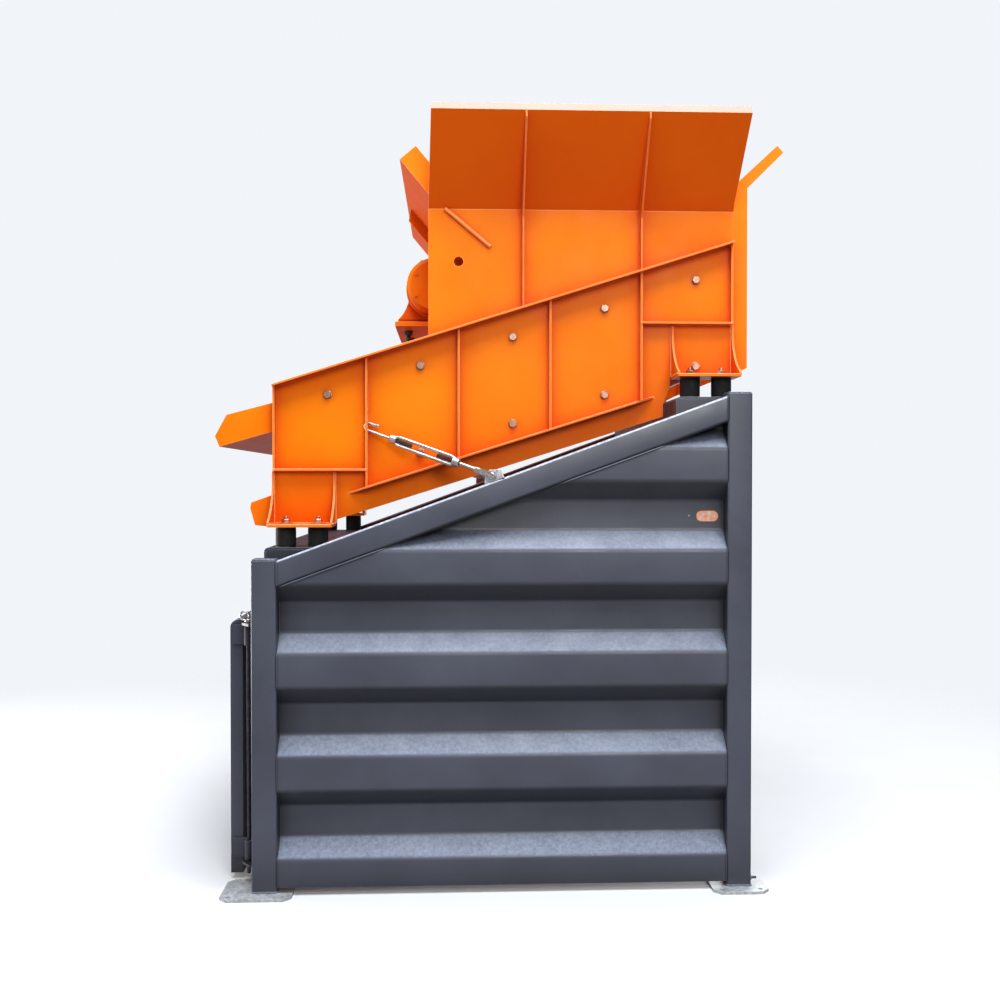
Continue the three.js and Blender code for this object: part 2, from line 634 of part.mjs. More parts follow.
const motorHousing = () => {
  const footShape = new THREE.Shape();
  const left = MOTOR_X - MOTOR_FOOT_HALF;
  const right = MOTOR_X + MOTOR_FOOT_HALF;
  footShape.moveTo(left, MOTOR_FOOT_Z);
  footShape.lineTo(right, MOTOR_FOOT_Z);
  footShape.lineTo(right, MOTOR_FOOT_Z + 30);
  footShape.quadraticCurveTo(right - 40, MOTOR_FOOT_Z + 60, MOTOR_X + MOTOR_R - 8, MOTOR_Z - 30);
  footShape.lineTo(MOTOR_X - MOTOR_R + 8, MOTOR_Z - 30);
  footShape.quadraticCurveTo(left + 40, MOTOR_FOOT_Z + 60, left, MOTOR_FOOT_Z + 30);
  const outside = join(
    cylinderY(MOTOR_X, MOTOR_Z, MOTOR_R, -MOTOR_HALF, MOTOR_HALF, 32),
    prismY(footShape, -MOTOR_HALF + 20, MOTOR_HALF - 20),
    box(MOTOR_X - 70, MOTOR_X + 10, -70, 70, MOTOR_Z + 100, MOTOR_Z + MOTOR_R + 28),
  );
  return cut(outside,
    cylinderY(MOTOR_X, MOTOR_Z, STATOR_R + 1, -165, 165, 24),
    cylinderY(MOTOR_X, MOTOR_Z, BEARING_R + GAP, -MOTOR_HALF - 5, MOTOR_HALF + 5, 24));
};

const ringY = (outerR, innerR, y0, y1, sides = 24) =>
  cut(cylinderY(MOTOR_X, MOTOR_Z, outerR, y0, y1, sides),
    cylinderY(MOTOR_X, MOTOR_Z, innerR, y0 - 5, y1 + 5, sides));

const motorCover = () => {
  const y0 = -MOTOR_HALF - 110;
  const y1 = -MOTOR_HALF - GAP;
  return cut(cylinderY(MOTOR_X, MOTOR_Z, MOTOR_R - 5, y0, y1, 24),
    cylinderY(MOTOR_X, MOTOR_Z, MOTOR_R - 11, y0 + 6, y1 + 5, 24));
};

const motorRotor = () => join(
  cylinderY(MOTOR_X, MOTOR_Z, SHAFT_R, -305, 305, 16),
  cylinderY(MOTOR_X, MOTOR_Z, ROTOR_R, -STATOR_HALF - 5, STATOR_HALF + 5, 24),
);

// Eccentric weight: a hub on the shaft with a half disc below it.
const eccentricWeight = () => {
  const halfDisc = new THREE.Shape();
  halfDisc.absarc(MOTOR_X, MOTOR_Z, 108, Math.PI, 2 * Math.PI, false);
  const [y0, y1] = WEIGHT_SPAN;
  return cut(
    join(prismY(halfDisc, y0, y1), cylinderY(MOTOR_X, MOTOR_Z, 50, y0, y1, 20)),
    cylinderY(MOTOR_X, MOTOR_Z, SHAFT_R + GAP, y0 - 5, y1 + 5, 16),
  );
};

// ---------------------------------------------------------------- turnbuckle ties

const tieLine = PIN_AT.clone().sub(HOOK_AT);
const tieLength = tieLine.length();
const tieU = tieLine.clone().normalize();
const tieN = new THREE.Vector3(tieU.y, -tieU.x, 0).normalize();       // outwards, level
const tieV = new THREE.Vector3().crossVectors(tieN, tieU);            // upwards
const tiePlace = new THREE.Matrix4().makeBasis(tieU, tieV, tieN).setPosition(HOOK_AT);

// A rod of the tie in its own frame: along the tie from s0 to s1, offset by v.
const tieRod = (s0, s1, v, radius, sides = 10) =>
  new THREE.CylinderGeometry(radius, radius, s1 - s0, sides)
    .rotateZ(Math.PI / 2).translate((s0 + s1) / 2, v, 0);

const tieBody = () => {
  const bossLength = 30;
  const bossR = 18;
  const barV = 17;
  const barR = 7.5;
  const barIn = 6;                  // bars start this far inside the bosses' outer ends
  const frame = join(
    tieRod(TIE_BODY_START, TIE_BODY_START + bossLength, 0, bossR, 16),
    tieRod(TIE_BODY_END - bossLength, TIE_BODY_END, 0, bossR, 16),
    tieRod(TIE_BODY_START + barIn, TIE_BODY_END - barIn, barV, barR),
    tieRod(TIE_BODY_START + barIn, TIE_BODY_END - barIn, -barV, barR),
  );
  const bore = TIE_ROD_R + 1.5;
  return cut(frame,
    tieRod(TIE_BODY_START - 5, TIE_BODY_START + bossLength + 5, 0, bore),
    tieRod(TIE_BODY_END - bossLength - 5, TIE_BODY_END + 5, 0, bore)).applyMatrix4(tiePlace);
};

// Hook: a straight threaded shank that passes through the rib's slot, turns up and comes back.
const tieHook = () => {
  const bend = 15;
  const turn = [];
  for (let i = 0; i <= 6; i += 1) {
    const angle = -Math.PI / 2 - (Math.PI * i) / 6;
    turn.push(new THREE.Vector3(2 + bend * Math.cos(angle), bend + bend * Math.sin(angle), 0));
  }
  const path = new THREE.CatmullRomCurve3([
    new THREE.Vector3(212, 0, 0), new THREE.Vector3(160, 0, 0), new THREE.Vector3(115, 0, 0),
    new THREE.Vector3(70, 0, 0), new THREE.Vector3(30, 0, 0), ...turn,
    new THREE.Vector3(24, 2 * bend, 0), new THREE.Vector3(48, 2 * bend + 3, 0),
  ], false, 'centripetal');
  const section = new THREE.Shape();
  section.absarc(0, 0, TIE_ROD_R, 0, 2 * Math.PI, false);
  const wire = new THREE.ExtrudeGeometry(section, {
    steps: 20, curveSegments: 4, bevelEnabled: false, extrudePath: path,
  });
  return wire.applyMatrix4(tiePlace);
};

// Fork: threaded shank, cross head and two ears with the pin through the lug between them.
const tieFork = () => {
  const headStart = tieLength - 78;
  const headEnd = tieLength - 52;
  const earIn = 7.5;
  const earOut = 15;
  const earR = 17;
  const pinR = 8;
  const halfHead = 11;
  const alongN = (radius, n0, n1, sides) =>
    new THREE.CylinderGeometry(radius, radius, n1 - n0, sides)
      .rotateX(Math.PI / 2).translate(tieLength, 0, (n0 + n1) / 2);
  return join(
    tieRod(332, headStart + 5, 0, TIE_ROD_R),
    box(headStart, headEnd, -halfHead, halfHead, -earOut, earOut),
    box(headEnd - 1, tieLength, -halfHead, halfHead, earIn, earOut),
    box(headEnd - 1, tieLength, -halfHead, halfHead, -earOut, -earIn),
    alongN(earR, earIn, earOut, 14),
    alongN(earR, -earOut, -earIn, 14),
    alongN(pinR, -earOut - 9, earOut + 7, 10),
  ).applyMatrix4(tiePlace);
};

// Lug: a plate on the rail's top, turned to face along the tie.
const tieLug = () => {
  const plate = new THREE.Shape();
  plate.moveTo(-34, -80);
  plate.lineTo(54, -80);
  plate.lineTo(54, -18);
  plate.lineTo(30, 24);
  plate.lineTo(-14, 24);
  plate.lineTo(-34, 2);
  roundHole(plate, 0, 0, 9);
  const place = new THREE.Matrix4()
    .makeBasis(new THREE.Vector3(tieU.x, tieU.y, 0).normalize(), new THREE.Vector3(0, 0, 1), tieN)
    .setPosition(PIN_AT);
  const blank = extrude(plate, 10, 10).translate(0, 0, -5).applyMatrix4(place);
  const x0 = PIN_AT.x - 200;
  const x1 = PIN_AT.x + 200;
  const railBody = prismY([
    [x0, railTop(x0) - 200], [x1, railTop(x1) - 200],
    [x1, railTop(x1) + GAP], [x0, railTop(x0) + GAP],
  ], -HALF_WIDTH - 100, 0);
  return cut(blank, railBody);
};

// ---------------------------------------------------------------- assembly

const machine = new THREE.Group();

const add = (name, geometry, finish) => {
  geometry.computeVertexNormals();
  const mesh = new THREE.Mesh(geometry, new THREE.MeshStandardMaterial(finish));
  mesh.name = name;
  machine.add(mesh);
};

const addPair = (name, geometry, finish) => {
  add(`${name}_near`, geometry, finish);
  add(`${name}_far`, mirrored(geometry), finish);
};

// frame
addPair('post_low', post(-HALF_LENGTH, LOW_POST_TOP), paint.grey);
addPair('post_high', post(HALF_LENGTH - TUBE, HIGH_POST_TOP), paint.grey);
addPair('base_plate_low',
  basePlate(-HALF_LENGTH - LOW_PLATE_REACH, -HALF_LENGTH + TUBE + BASE_PLATE_MARGIN), paint.zinc);
addPair('base_plate_high',
  basePlate(HALF_LENGTH - TUBE - BASE_PLATE_MARGIN, HALF_LENGTH + BASE_PLATE_MARGIN), paint.zinc);
addPair('rail', rail(), paint.grey);
addPair('wall', corrugatedWall(), paint.grey);
add('buffer_beam_low', bufferBeam(LOW_BEAM_X, LOW_BEAM_TOP), paint.grey);
add('buffer_beam_high', bufferBeam(HIGH_BEAM_X, HIGH_BEAM_TOP), paint.grey);

// gate
add('gate_leaf', gateLeaf(), paint.grey);
add('gate_hinge_rod', hingeRod(), paint.zinc);
add('gate_bracket_low', hingeBracket(BRACKET_BOTTOMS.low), paint.zinc);
add('gate_bracket_high', hingeBracket(BRACKET_BOTTOMS.high), paint.zinc);

// buffers, feet and side weldments
const bufferY = -SIDE_Y - BUFFER_OUT;
const ends = [['low', LOW_FOOT_X, LOW_BEAM_TOP], ['high', HIGH_FOOT_X, HIGH_BEAM_TOP]];
for (const [end, footX, beamTop] of ends) {
  for (const [place, side] of [['outer', end === 'low' ? -1 : 1], ['inner', end === 'low' ? 1 : -1]]) {
    const x = footX + (side * BUFFER_SPACING) / 2;
    addPair(`buffer_${end}_${place}`, buffer(x, bufferY, beamTop), paint.rubber);
  }
}
addPair('foot_low', foot(LOW_FOOT_X, lowFootZ), paint.orange);
addPair('foot_high', foot(HIGH_FOOT_X, highFootZ), paint.orange);
addPair('side_plate', sideWeldment(), paint.orange);

// decks
for (const [deck, columns, rows] of [['upper', 6, 3], ['lower', 8, 4]]) {
  add(`deck_frame_${deck}`, deckFrame(DECK_DROPS[deck]), paint.orange);
  add(`screen_${deck}`, screenPanel(DECK_DROPS[deck], columns, rows), paint.steel);
}
const chuteY = innerY - 8;
const upperCheek = [[-930, 1858], [-930, 1978], [-961, 1970], [-1142, 1922], [-1190, 1833], [-1172, 1788]];
const lowerCheek = [[-950, 1455], [-950, 1590], [-1041, 1557], [-1046, 1534], [-1026, 1462]];
add('chute_upper', chute(upperCheek, chuteFloor(-1172, 1788, -946, 1859), chuteY), paint.orange);
add('chute_lower', chute(lowerCheek, chuteFloor(-1026, 1462, -950, 1485), chuteY), paint.orange);

// hopper
addPair('hopper_side', hopperSide(), paint.orange);
add('hopper_rear_wall', rearWall(), paint.orange);
add('hopper_front_wall', frontWall(), paint.orange);

// vibrator
add('motor_bridge', motorBridge(), paint.orange);
add('motor_housing', motorHousing(), paint.orange);
add('motor_stator', ringY(STATOR_R, ROTOR_R + 2, -STATOR_HALF, STATOR_HALF, 18), paint.copper);
addPair('motor_bearing', ringY(BEARING_R, SHAFT_R + GAP, ...BEARING_SPAN), paint.steel);
addPair('motor_cover', motorCover(), paint.orange);
add('motor_rotor', motorRotor(), paint.steel);
addPair('eccentric_weight', eccentricWeight(), paint.steel);

// ties
addPair('tie_lug', tieLug(), paint.zinc);
addPair('tie_body', tieBody(), paint.zinc);
addPair('tie_hook', tieHook(), paint.zinc);
addPair('tie_fork', tieFork(), paint.zinc);

export default machine;
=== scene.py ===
import math

import bmesh
import bpy
from mathutils import Matrix, Vector


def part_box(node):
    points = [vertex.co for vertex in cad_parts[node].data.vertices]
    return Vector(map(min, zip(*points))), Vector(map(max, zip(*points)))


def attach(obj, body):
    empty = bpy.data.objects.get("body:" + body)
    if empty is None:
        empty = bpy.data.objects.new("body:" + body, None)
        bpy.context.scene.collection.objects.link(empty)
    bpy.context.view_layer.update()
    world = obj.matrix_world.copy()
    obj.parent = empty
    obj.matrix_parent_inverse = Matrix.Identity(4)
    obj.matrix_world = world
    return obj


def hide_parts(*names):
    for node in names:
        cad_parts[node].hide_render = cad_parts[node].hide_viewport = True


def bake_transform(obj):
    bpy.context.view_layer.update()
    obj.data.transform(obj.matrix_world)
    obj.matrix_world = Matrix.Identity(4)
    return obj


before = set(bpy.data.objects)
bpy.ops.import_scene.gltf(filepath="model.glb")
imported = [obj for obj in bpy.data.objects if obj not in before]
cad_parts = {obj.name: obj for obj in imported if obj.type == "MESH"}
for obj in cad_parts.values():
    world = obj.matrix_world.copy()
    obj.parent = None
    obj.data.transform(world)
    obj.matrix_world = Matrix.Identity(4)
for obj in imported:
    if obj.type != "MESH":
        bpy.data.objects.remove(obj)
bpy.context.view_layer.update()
scene = bpy.context.scene

SIDES = ("near", "far")
ENDS = ("low", "high")

# ---------------------------------------------------------------- camera and studio

camera_data = bpy.data.cameras.new("camera")
camera_data.lens = 39.0
camera_data.sensor_width = 36.0
camera = bpy.data.objects.new("camera", camera_data)
camera.location = (-0.199, -5.252, 1.636)
camera.rotation_euler = (math.radians(90 - 0.877), 0, math.radians(-2.446))
scene.collection.objects.link(camera)
scene.camera = camera

scene.view_settings.view_transform = "Standard"


def area_light(name, place, target, size, watts, colour=(1, 1, 1)):
    """Square soft light that shines from a place to a target."""
    data = bpy.data.lights.new(name, "AREA")
    data.shape = "SQUARE"
    data.size = size
    data.energy = watts
    data.color = colour
    lamp = bpy.data.objects.new(name, data)
    lamp.location = place
    lamp.rotation_euler = (Vector(target) - Vector(place)).to_track_quat("-Z", "Y").to_euler()
    scene.collection.objects.link(lamp)


area_light("top_light", (0.3, -1.6, 7.0), (0, 0, 1.0), 5.0, 850, (0.86, 0.93, 1.0))
area_light("front_light", (1.6, -8.0, 4.6), (0, 0, 1.4), 3.0, 300, (1.0, 0.97, 0.93))
area_light("left_light", (-6.0, -3.0, 3.0), (0, 0, 1.2), 3.0, 90)
area_light("low_left_light", (-5.5, 2.0, 0.7), (-0.8, 0, 2.2), 2.0, 260, (1.0, 0.97, 0.95))
area_light("back_light", (3.0, 7.0, 4.5), (0, 0, 1.5), 7.0, 300)

world = bpy.data.worlds.new("studio")
world.use_nodes = True
backdrop = world.node_tree.nodes["Background"]
backdrop.inputs["Color"].default_value = (0.93, 0.96, 1.0, 1)
seen = world.node_tree.nodes.new("ShaderNodeLightPath")
strength = world.node_tree.nodes.new("ShaderNodeMapRange")
strength.inputs["To Min"].default_value = 0.22      # what lights the machine
strength.inputs["To Max"].default_value = 0.95      # what the picture shows behind it
world.node_tree.links.new(seen.outputs["Is Camera Ray"], strength.inputs["Value"])
world.node_tree.links.new(strength.outputs["Result"], backdrop.inputs["Strength"])
scene.world = world

# ---------------------------------------------------------------- materials


class Nodes:
    """A material's node tree, with short calls for the nodes used here."""

    def __init__(self, name):
        self.material = bpy.data.materials.new(name)
        self.material.use_nodes = True
        self.tree = self.material.node_tree
        self.shader = self.tree.nodes["Principled BSDF"]
        self.place = self.add("ShaderNodeTexCoord").outputs["Object"]

    def add(self, kind, **inputs):
        node = self.tree.nodes.new(kind)
        for name, value in inputs.items():
            self.put(node.inputs[name.replace("_", " ")], value)
        return node

    def put(self, socket, value):
        if isinstance(value, bpy.types.NodeSocket):
            self.tree.links.new(value, socket)
        else:
            socket.default_value = value

    def set(self, name, value):
        self.put(self.shader.inputs[name], value)

    def noise(self, scale, detail=4.0, roughness=0.55):
        node = self.add("ShaderNodeTexNoise", Vector=self.place, Scale=scale, Detail=detail,
                        Roughness=roughness)
        return node.outputs["Fac"]

    def cells(self, scale):
        node = self.add("ShaderNodeTexVoronoi", Vector=self.place, Scale=scale)
        return node.outputs["Color"]

    def ramp(self, value, low, high, out_low=0.0, out_high=1.0):
        node = self.add("ShaderNodeMapRange", Value=value, From_Min=low, From_Max=high,
                        To_Min=out_low, To_Max=out_high)
        return node.outputs["Result"]

    def math(self, operation, a, b):
        node = self.tree.nodes.new("ShaderNodeMath")
        node.operation = operation
        node.use_clamp = True
        self.put(node.inputs[0], a)
        self.put(node.inputs[1], b)
        return node.outputs["Value"]

    def mix(self, share, a, b):
        node = self.tree.nodes.new("ShaderNodeMix")
        node.data_type = "RGBA"
        self.put(node.inputs["Factor"], share)
        self.put(node.inputs["A"], a)
        self.put(node.inputs["B"], b)
        return node.outputs["Result"]

    def height(self):
        return self.add("ShaderNodeSeparateXYZ", Vector=self.place).outputs["Z"]

    def upward(self):
        normal = self.add("ShaderNodeNewGeometry").outputs["Normal"]
        return self.add("ShaderNodeSeparateXYZ", Vector=normal).outputs["Z"]

    def bump(self, height, strength, distance):
        node = self.add("ShaderNodeBump", Height=height, Strength=strength, Distance=distance)
        self.set("Normal", node.outputs["Normal"])


def rgb(red, green, blue):
    return (red, green, blue, 1.0)


def between(a, b, share):
    """A fixed colour between two others."""
    return tuple(x + (y - x) * share for x, y in zip(a, b))


DUST = rgb(0.42, 0.36, 0.29)


def paint(name, colour, under, film, film_share, roughness, gloss, wear=0.0, bare=rgb(0.5, 0.5, 0.5),
          glaze=0.0):
    """Sprayed paint: orange-peel skin and a cloudy tone. Painted shade darkens it towards the under
    colour in corners and on undersides. A pale film lies on what faces up and lies open: dust, and
    painted sky light. film_share maps height over the ground to the film's share. glaze is the paint's
    shine where it is seen at a flat angle."""
    n = Nodes(name)
    corner = n.add("ShaderNodeAmbientOcclusion", Distance=0.22)
    corner.samples = 6
    depth = n.ramp(corner.outputs["AO"], 0.38, 0.96)
    open_tone = n.mix(n.ramp(n.noise(2.3, 6), 0.35, 0.65), colour, between(colour, under, 0.3))
    # Painted shade: where ambient occlusion finds a corner, the colour goes towards the under colour.
    tone = n.mix(depth, under, open_tone)
    # Painted shade: faces that turn downwards take the under colour.
    tone = n.mix(n.ramp(n.upward(), -0.75, -0.15), under, tone)
    # A pale film on open faces that turn up: partly dust, partly painted sky light, and at the hopper's
    # lip and the rail's corners a painted highlight.
    facing_up = n.ramp(n.upward(), 0.35, 0.62)
    lying = n.math("MULTIPLY", facing_up, n.ramp(corner.outputs["AO"], 0.30, 0.58))
    speckle = n.ramp(n.noise(60, 9, 0.75), 0.36, 0.66, 0.35, 1.0)
    dust_and_sheen_mask = n.math("MULTIPLY", n.math("MULTIPLY", lying, speckle), n.ramp(n.height(), *film_share))
    cloud = n.ramp(n.noise(7, 8, 0.7), 0.56, 0.82, 0.0, 0.02)
    tone = n.mix(n.math("ADD", dust_and_sheen_mask, cloud), tone, film)
    if wear:
        rubbed = n.ramp(n.noise(60, 6, 0.75), 0.68 - 0.3 * wear, 0.74 - 0.3 * wear)
        tone = n.mix(rubbed, tone, bare)
    n.set("Base Color", tone)
    n.set("Roughness", n.ramp(n.noise(9, 5), 0.3, 0.7, roughness - 0.06, roughness + 0.1))
    n.set("Specular IOR Level", gloss)
    if glaze:
        facing = n.add("ShaderNodeLayerWeight", Blend=0.5).outputs["Facing"]
        n.set("Coat Weight", n.ramp(facing, 0.80, 0.94, 0.0, glaze))
        n.set("Coat Roughness", 0.3)
    n.bump(n.noise(420, 2), 0.12, 0.0006)
    return n.material


def metal(name, colour, shade, roughness, grain, patches=0.0, patch_colour=DUST, metallic=1.0):
    """Bare metal with a fine grain, tonal clouds and optional dull patches."""
    n = Nodes(name)
    tone = n.mix(n.ramp(n.noise(grain, 4), 0.35, 0.65), colour, shade)
    dull = n.ramp(n.noise(14, 7, 0.7), 0.62 - 0.3 * patches, 0.8 - 0.2 * patches, 0.0, patches)
    n.set("Base Color", n.mix(dull, tone, patch_colour))
    n.set("Metallic", metallic)
    n.set("Roughness", n.ramp(n.noise(grain * 2.2, 5), 0.3, 0.7, roughness - 0.08, roughness + 0.14))
    n.bump(n.noise(grain * 6, 3), 0.15, 0.0004)
    return n.material


def galvanised(name):
    """Hot-dip zinc: flat grey crystals of slightly different tone and gloss."""
    n = Nodes(name)
    crystal = n.add("ShaderNodeSeparateColor", Color=n.cells(110)).outputs["Red"]
    tone = n.mix(crystal, rgb(0.50, 0.52, 0.54), rgb(0.72, 0.74, 0.75))
    film = n.ramp(n.noise(11, 8, 0.7), 0.5, 0.8, 0.0, 0.5)
    n.set("Base Color", n.mix(film, tone, DUST))
    n.set("Metallic", 0.7)
    n.set("Roughness", n.ramp(crystal, 0.0, 1.0, 0.42, 0.6))
    n.bump(crystal, 0.08, 0.0004)
    return n.material


def rubber(name):
    """Black rubber with a faint dusty bloom."""
    n = Nodes(name)
    film = n.ramp(n.noise(24, 8, 0.7), 0.5, 0.85, 0.0, 0.22)
    n.set("Base Color", n.mix(film, rgb(0.012, 0.012, 0.013), rgb(0.09, 0.085, 0.08)))
    n.set("Roughness", n.ramp(n.noise(60, 4), 0.3, 0.7, 0.62, 0.8))
    n.set("Specular IOR Level", 0.25)
    n.bump(n.noise(300, 3), 0.2, 0.0005)
    return n.material


ORANGE = rgb(1.0, 0.235, 0.001)
# Painted shade: the orange that paint() puts in corners and on undersides.
ORANGE_PAINTED_SHADE = rgb(0.68, 0.070, 0.0)
# Pale film on orange paint that faces up: dust, and at the lip a painted highlight.
CREAM = rgb(0.36, 0.240, 0.190)
GREY = rgb(0.074, 0.080, 0.110)
# Painted shade: the grey that paint() puts in corners and on undersides.
GREY_PAINTED_SHADE = rgb(0.011, 0.012, 0.017)
# Pale bluish film on grey paint that faces up: dust and painted sky light.
BLUE_DUST_AND_SKY_SHEEN = rgb(0.28, 0.33, 0.47)
LIP_Z = 3.110                           # the hopper's lip begins here; above it the pale film on orange paint is a painted highlight with dust

# Films of dust and painted sky light, and a painted highlight at the lip and on the rail's corners: a
# range of heights, and the film's share at its low and high ends.
LIP_HIGHLIGHT_AND_DUST_FILM = (LIP_Z - 0.002, LIP_Z + 0.002, 0.15, 2.8)
EVEN_FILM = (0.0, 1.0, 0.35, 0.35)
SHEET_FILM = (0.0, 1.0, 0.70, 0.46)
CORNER_HIGHLIGHT_FILM = (0.0, 1.0, 0.9, 0.9)

orange_paint = paint("orange_paint", ORANGE, ORANGE_PAINTED_SHADE, CREAM, LIP_HIGHLIGHT_AND_DUST_FILM,
                     roughness=0.42, gloss=0.10, glaze=0.7)
# Painted highlight: the rounded edges get a paler orange, with some rubbed wear.
orange_edge_highlight_and_wear = paint("orange_edge_highlight_and_wear", rgb(1.0, 0.54, 0.30), rgb(1.0, 0.34, 0.10), CREAM, LIP_HIGHLIGHT_AND_DUST_FILM,
                    roughness=0.36, gloss=0.3, wear=0.15, bare=rgb(0.9, 0.62, 0.45))
orange_weld = paint("orange_weld", rgb(0.86, 0.25, 0.04), ORANGE_PAINTED_SHADE, CREAM, LIP_HIGHLIGHT_AND_DUST_FILM,
                    roughness=0.36, gloss=0.5, wear=0.2, bare=rgb(0.65, 0.36, 0.24))
grey_paint = paint("grey_paint", GREY, GREY_PAINTED_SHADE, BLUE_DUST_AND_SKY_SHEEN, EVEN_FILM, roughness=0.36, gloss=0.5)
# Painted highlight: the rail's round corners take a pale film where they face up.
rail_corner_highlight = paint("rail_corner_highlight", GREY, GREY_PAINTED_SHADE, rgb(0.64, 0.68, 0.78), CORNER_HIGHLIGHT_FILM,
                    roughness=0.36, gloss=0.5)
grey_sheet = paint("grey_sheet", GREY, GREY_PAINTED_SHADE, BLUE_DUST_AND_SKY_SHEEN, SHEET_FILM, roughness=0.40, gloss=0.5)
grey_edge = paint("grey_edge", rgb(0.13, 0.14, 0.17), GREY, BLUE_DUST_AND_SKY_SHEEN, EVEN_FILM,
                  roughness=0.32, gloss=0.6, wear=0.3, bare=rgb(0.35, 0.36, 0.38))
zinc = galvanised("galvanised")
# Painted reflection: the zinc's warm tint stands in for the orange paint mirrored in it.
bright_zinc_painted_reflection = metal("bright_zinc_painted_reflection", rgb(0.74, 0.70, 0.67), rgb(0.56, 0.52, 0.49),
                    roughness=0.32, grain=90, patches=0.15)
# Painted reflection: the bolts' brown-orange tone stands in for the orange paint mirrored in the zinc;
# the darker brown patches are dull spots.
bolt_zinc_painted_reflection = metal("bolt_zinc_painted_reflection", rgb(0.53, 0.34, 0.25), rgb(0.35, 0.21, 0.15),
                  roughness=0.42, grain=120, patches=0.6, patch_colour=rgb(0.28, 0.14, 0.08))
dark_steel = metal("dark_steel", rgb(0.10, 0.10, 0.105), rgb(0.06, 0.06, 0.065),
                   roughness=0.45, grain=80, patches=0.2)
machined = metal("machined_steel", rgb(0.60, 0.60, 0.61), rgb(0.48, 0.48, 0.50),
                 roughness=0.3, grain=150)
wire_steel = metal("wire_steel", rgb(0.36, 0.34, 0.32), rgb(0.24, 0.21, 0.19),
                   roughness=0.42, grain=40, patches=0.5, patch_colour=rgb(0.22, 0.12, 0.07))
windings = metal("windings", rgb(0.42, 0.18, 0.07), rgb(0.30, 0.12, 0.05),
                 roughness=0.5, grain=160, metallic=0.4)
buffer_rubber = rubber("buffer_rubber")
plate_face = metal("plate_face", rgb(0.80, 0.54, 0.44), rgb(0.66, 0.33, 0.23),
                   roughness=0.4, grain=60, patches=0.4, patch_colour=rgb(0.50, 0.22, 0.12))
plate_rim = metal("plate_rim", rgb(0.30, 0.13, 0.07), rgb(0.20, 0.09, 0.05), roughness=0.5, grain=90)

# ---------------------------------------------------------------- mesh building

ALONG_X = Matrix(((0, 0, 1, 0), (1, 0, 0, 0), (0, 1, 0, 0), (0, 0, 0, 1)))
ALONG_Y = Matrix(((1, 0, 0, 0), (0, 0, 1, 0), (0, 1, 0, 0), (0, 0, 0, 1)))
ALONG_Z = Matrix.Identity(4)
SHARP_ANGLE = math.radians(35)          # faces that meet at less look smooth
BEVEL_ANGLE = math.radians(28)          # edges that turn by more are rounded


def at(x, y, z, turn=ALONG_Z):
    """A place in the machine's frame. The turn says which way its third axis points."""
    return Matrix.Translation((x, y, z)) @ turn


def rounded_rect(half_a, half_b, radius, steps=5):
    """Rectangle with round corners, counterclockwise, about the origin."""
    points = []
    for quarter, (sign_a, sign_b) in enumerate(((1, 1), (-1, 1), (-1, -1), (1, -1))):
        for i in range(steps + 1):
            angle = math.radians(90 * (quarter + i / steps))
            points.append((sign_a * (half_a - radius) + radius * math.cos(angle),
                           sign_b * (half_b - radius) + radius * math.sin(angle)))
    return points


def curve(start, control, end, steps):
    """Points of a quadratic curve, both ends included."""
    a, b, c = Vector(start), Vector(control), Vector(end)
    shares = [i / steps for i in range(steps + 1)]
    return [tuple(a * (1 - t) ** 2 + b * 2 * t * (1 - t) + c * t ** 2) for t in shares]


def soft_line(points, radius, steps=4):
    """An open line whose corners are rounded."""
    line = [points[0]]
    for before, corner, after in zip(points, points[1:], points[2:]):
        middle = Vector(corner)
        back = (Vector(before) - middle).normalized()
        ahead = (Vector(after) - middle).normalized()
        line += curve(middle + back * radius, middle, middle + ahead * radius, steps)
    return line + [points[-1]]


def sheet_outline(line, thickness):
    """The closed outline of a folded sheet whose middle follows an open line."""
    left, right = [], []
    for i, point in enumerate(line):
        along = Vector(line[min(i + 1, len(line) - 1)]) - Vector(line[max(i - 1, 0)])
        across = Vector((-along.y, along.x)).normalized() * thickness / 2
        left.append(tuple(Vector(point) + across))
        right.append(tuple(Vector(point) - across))
    return left + right[::-1]


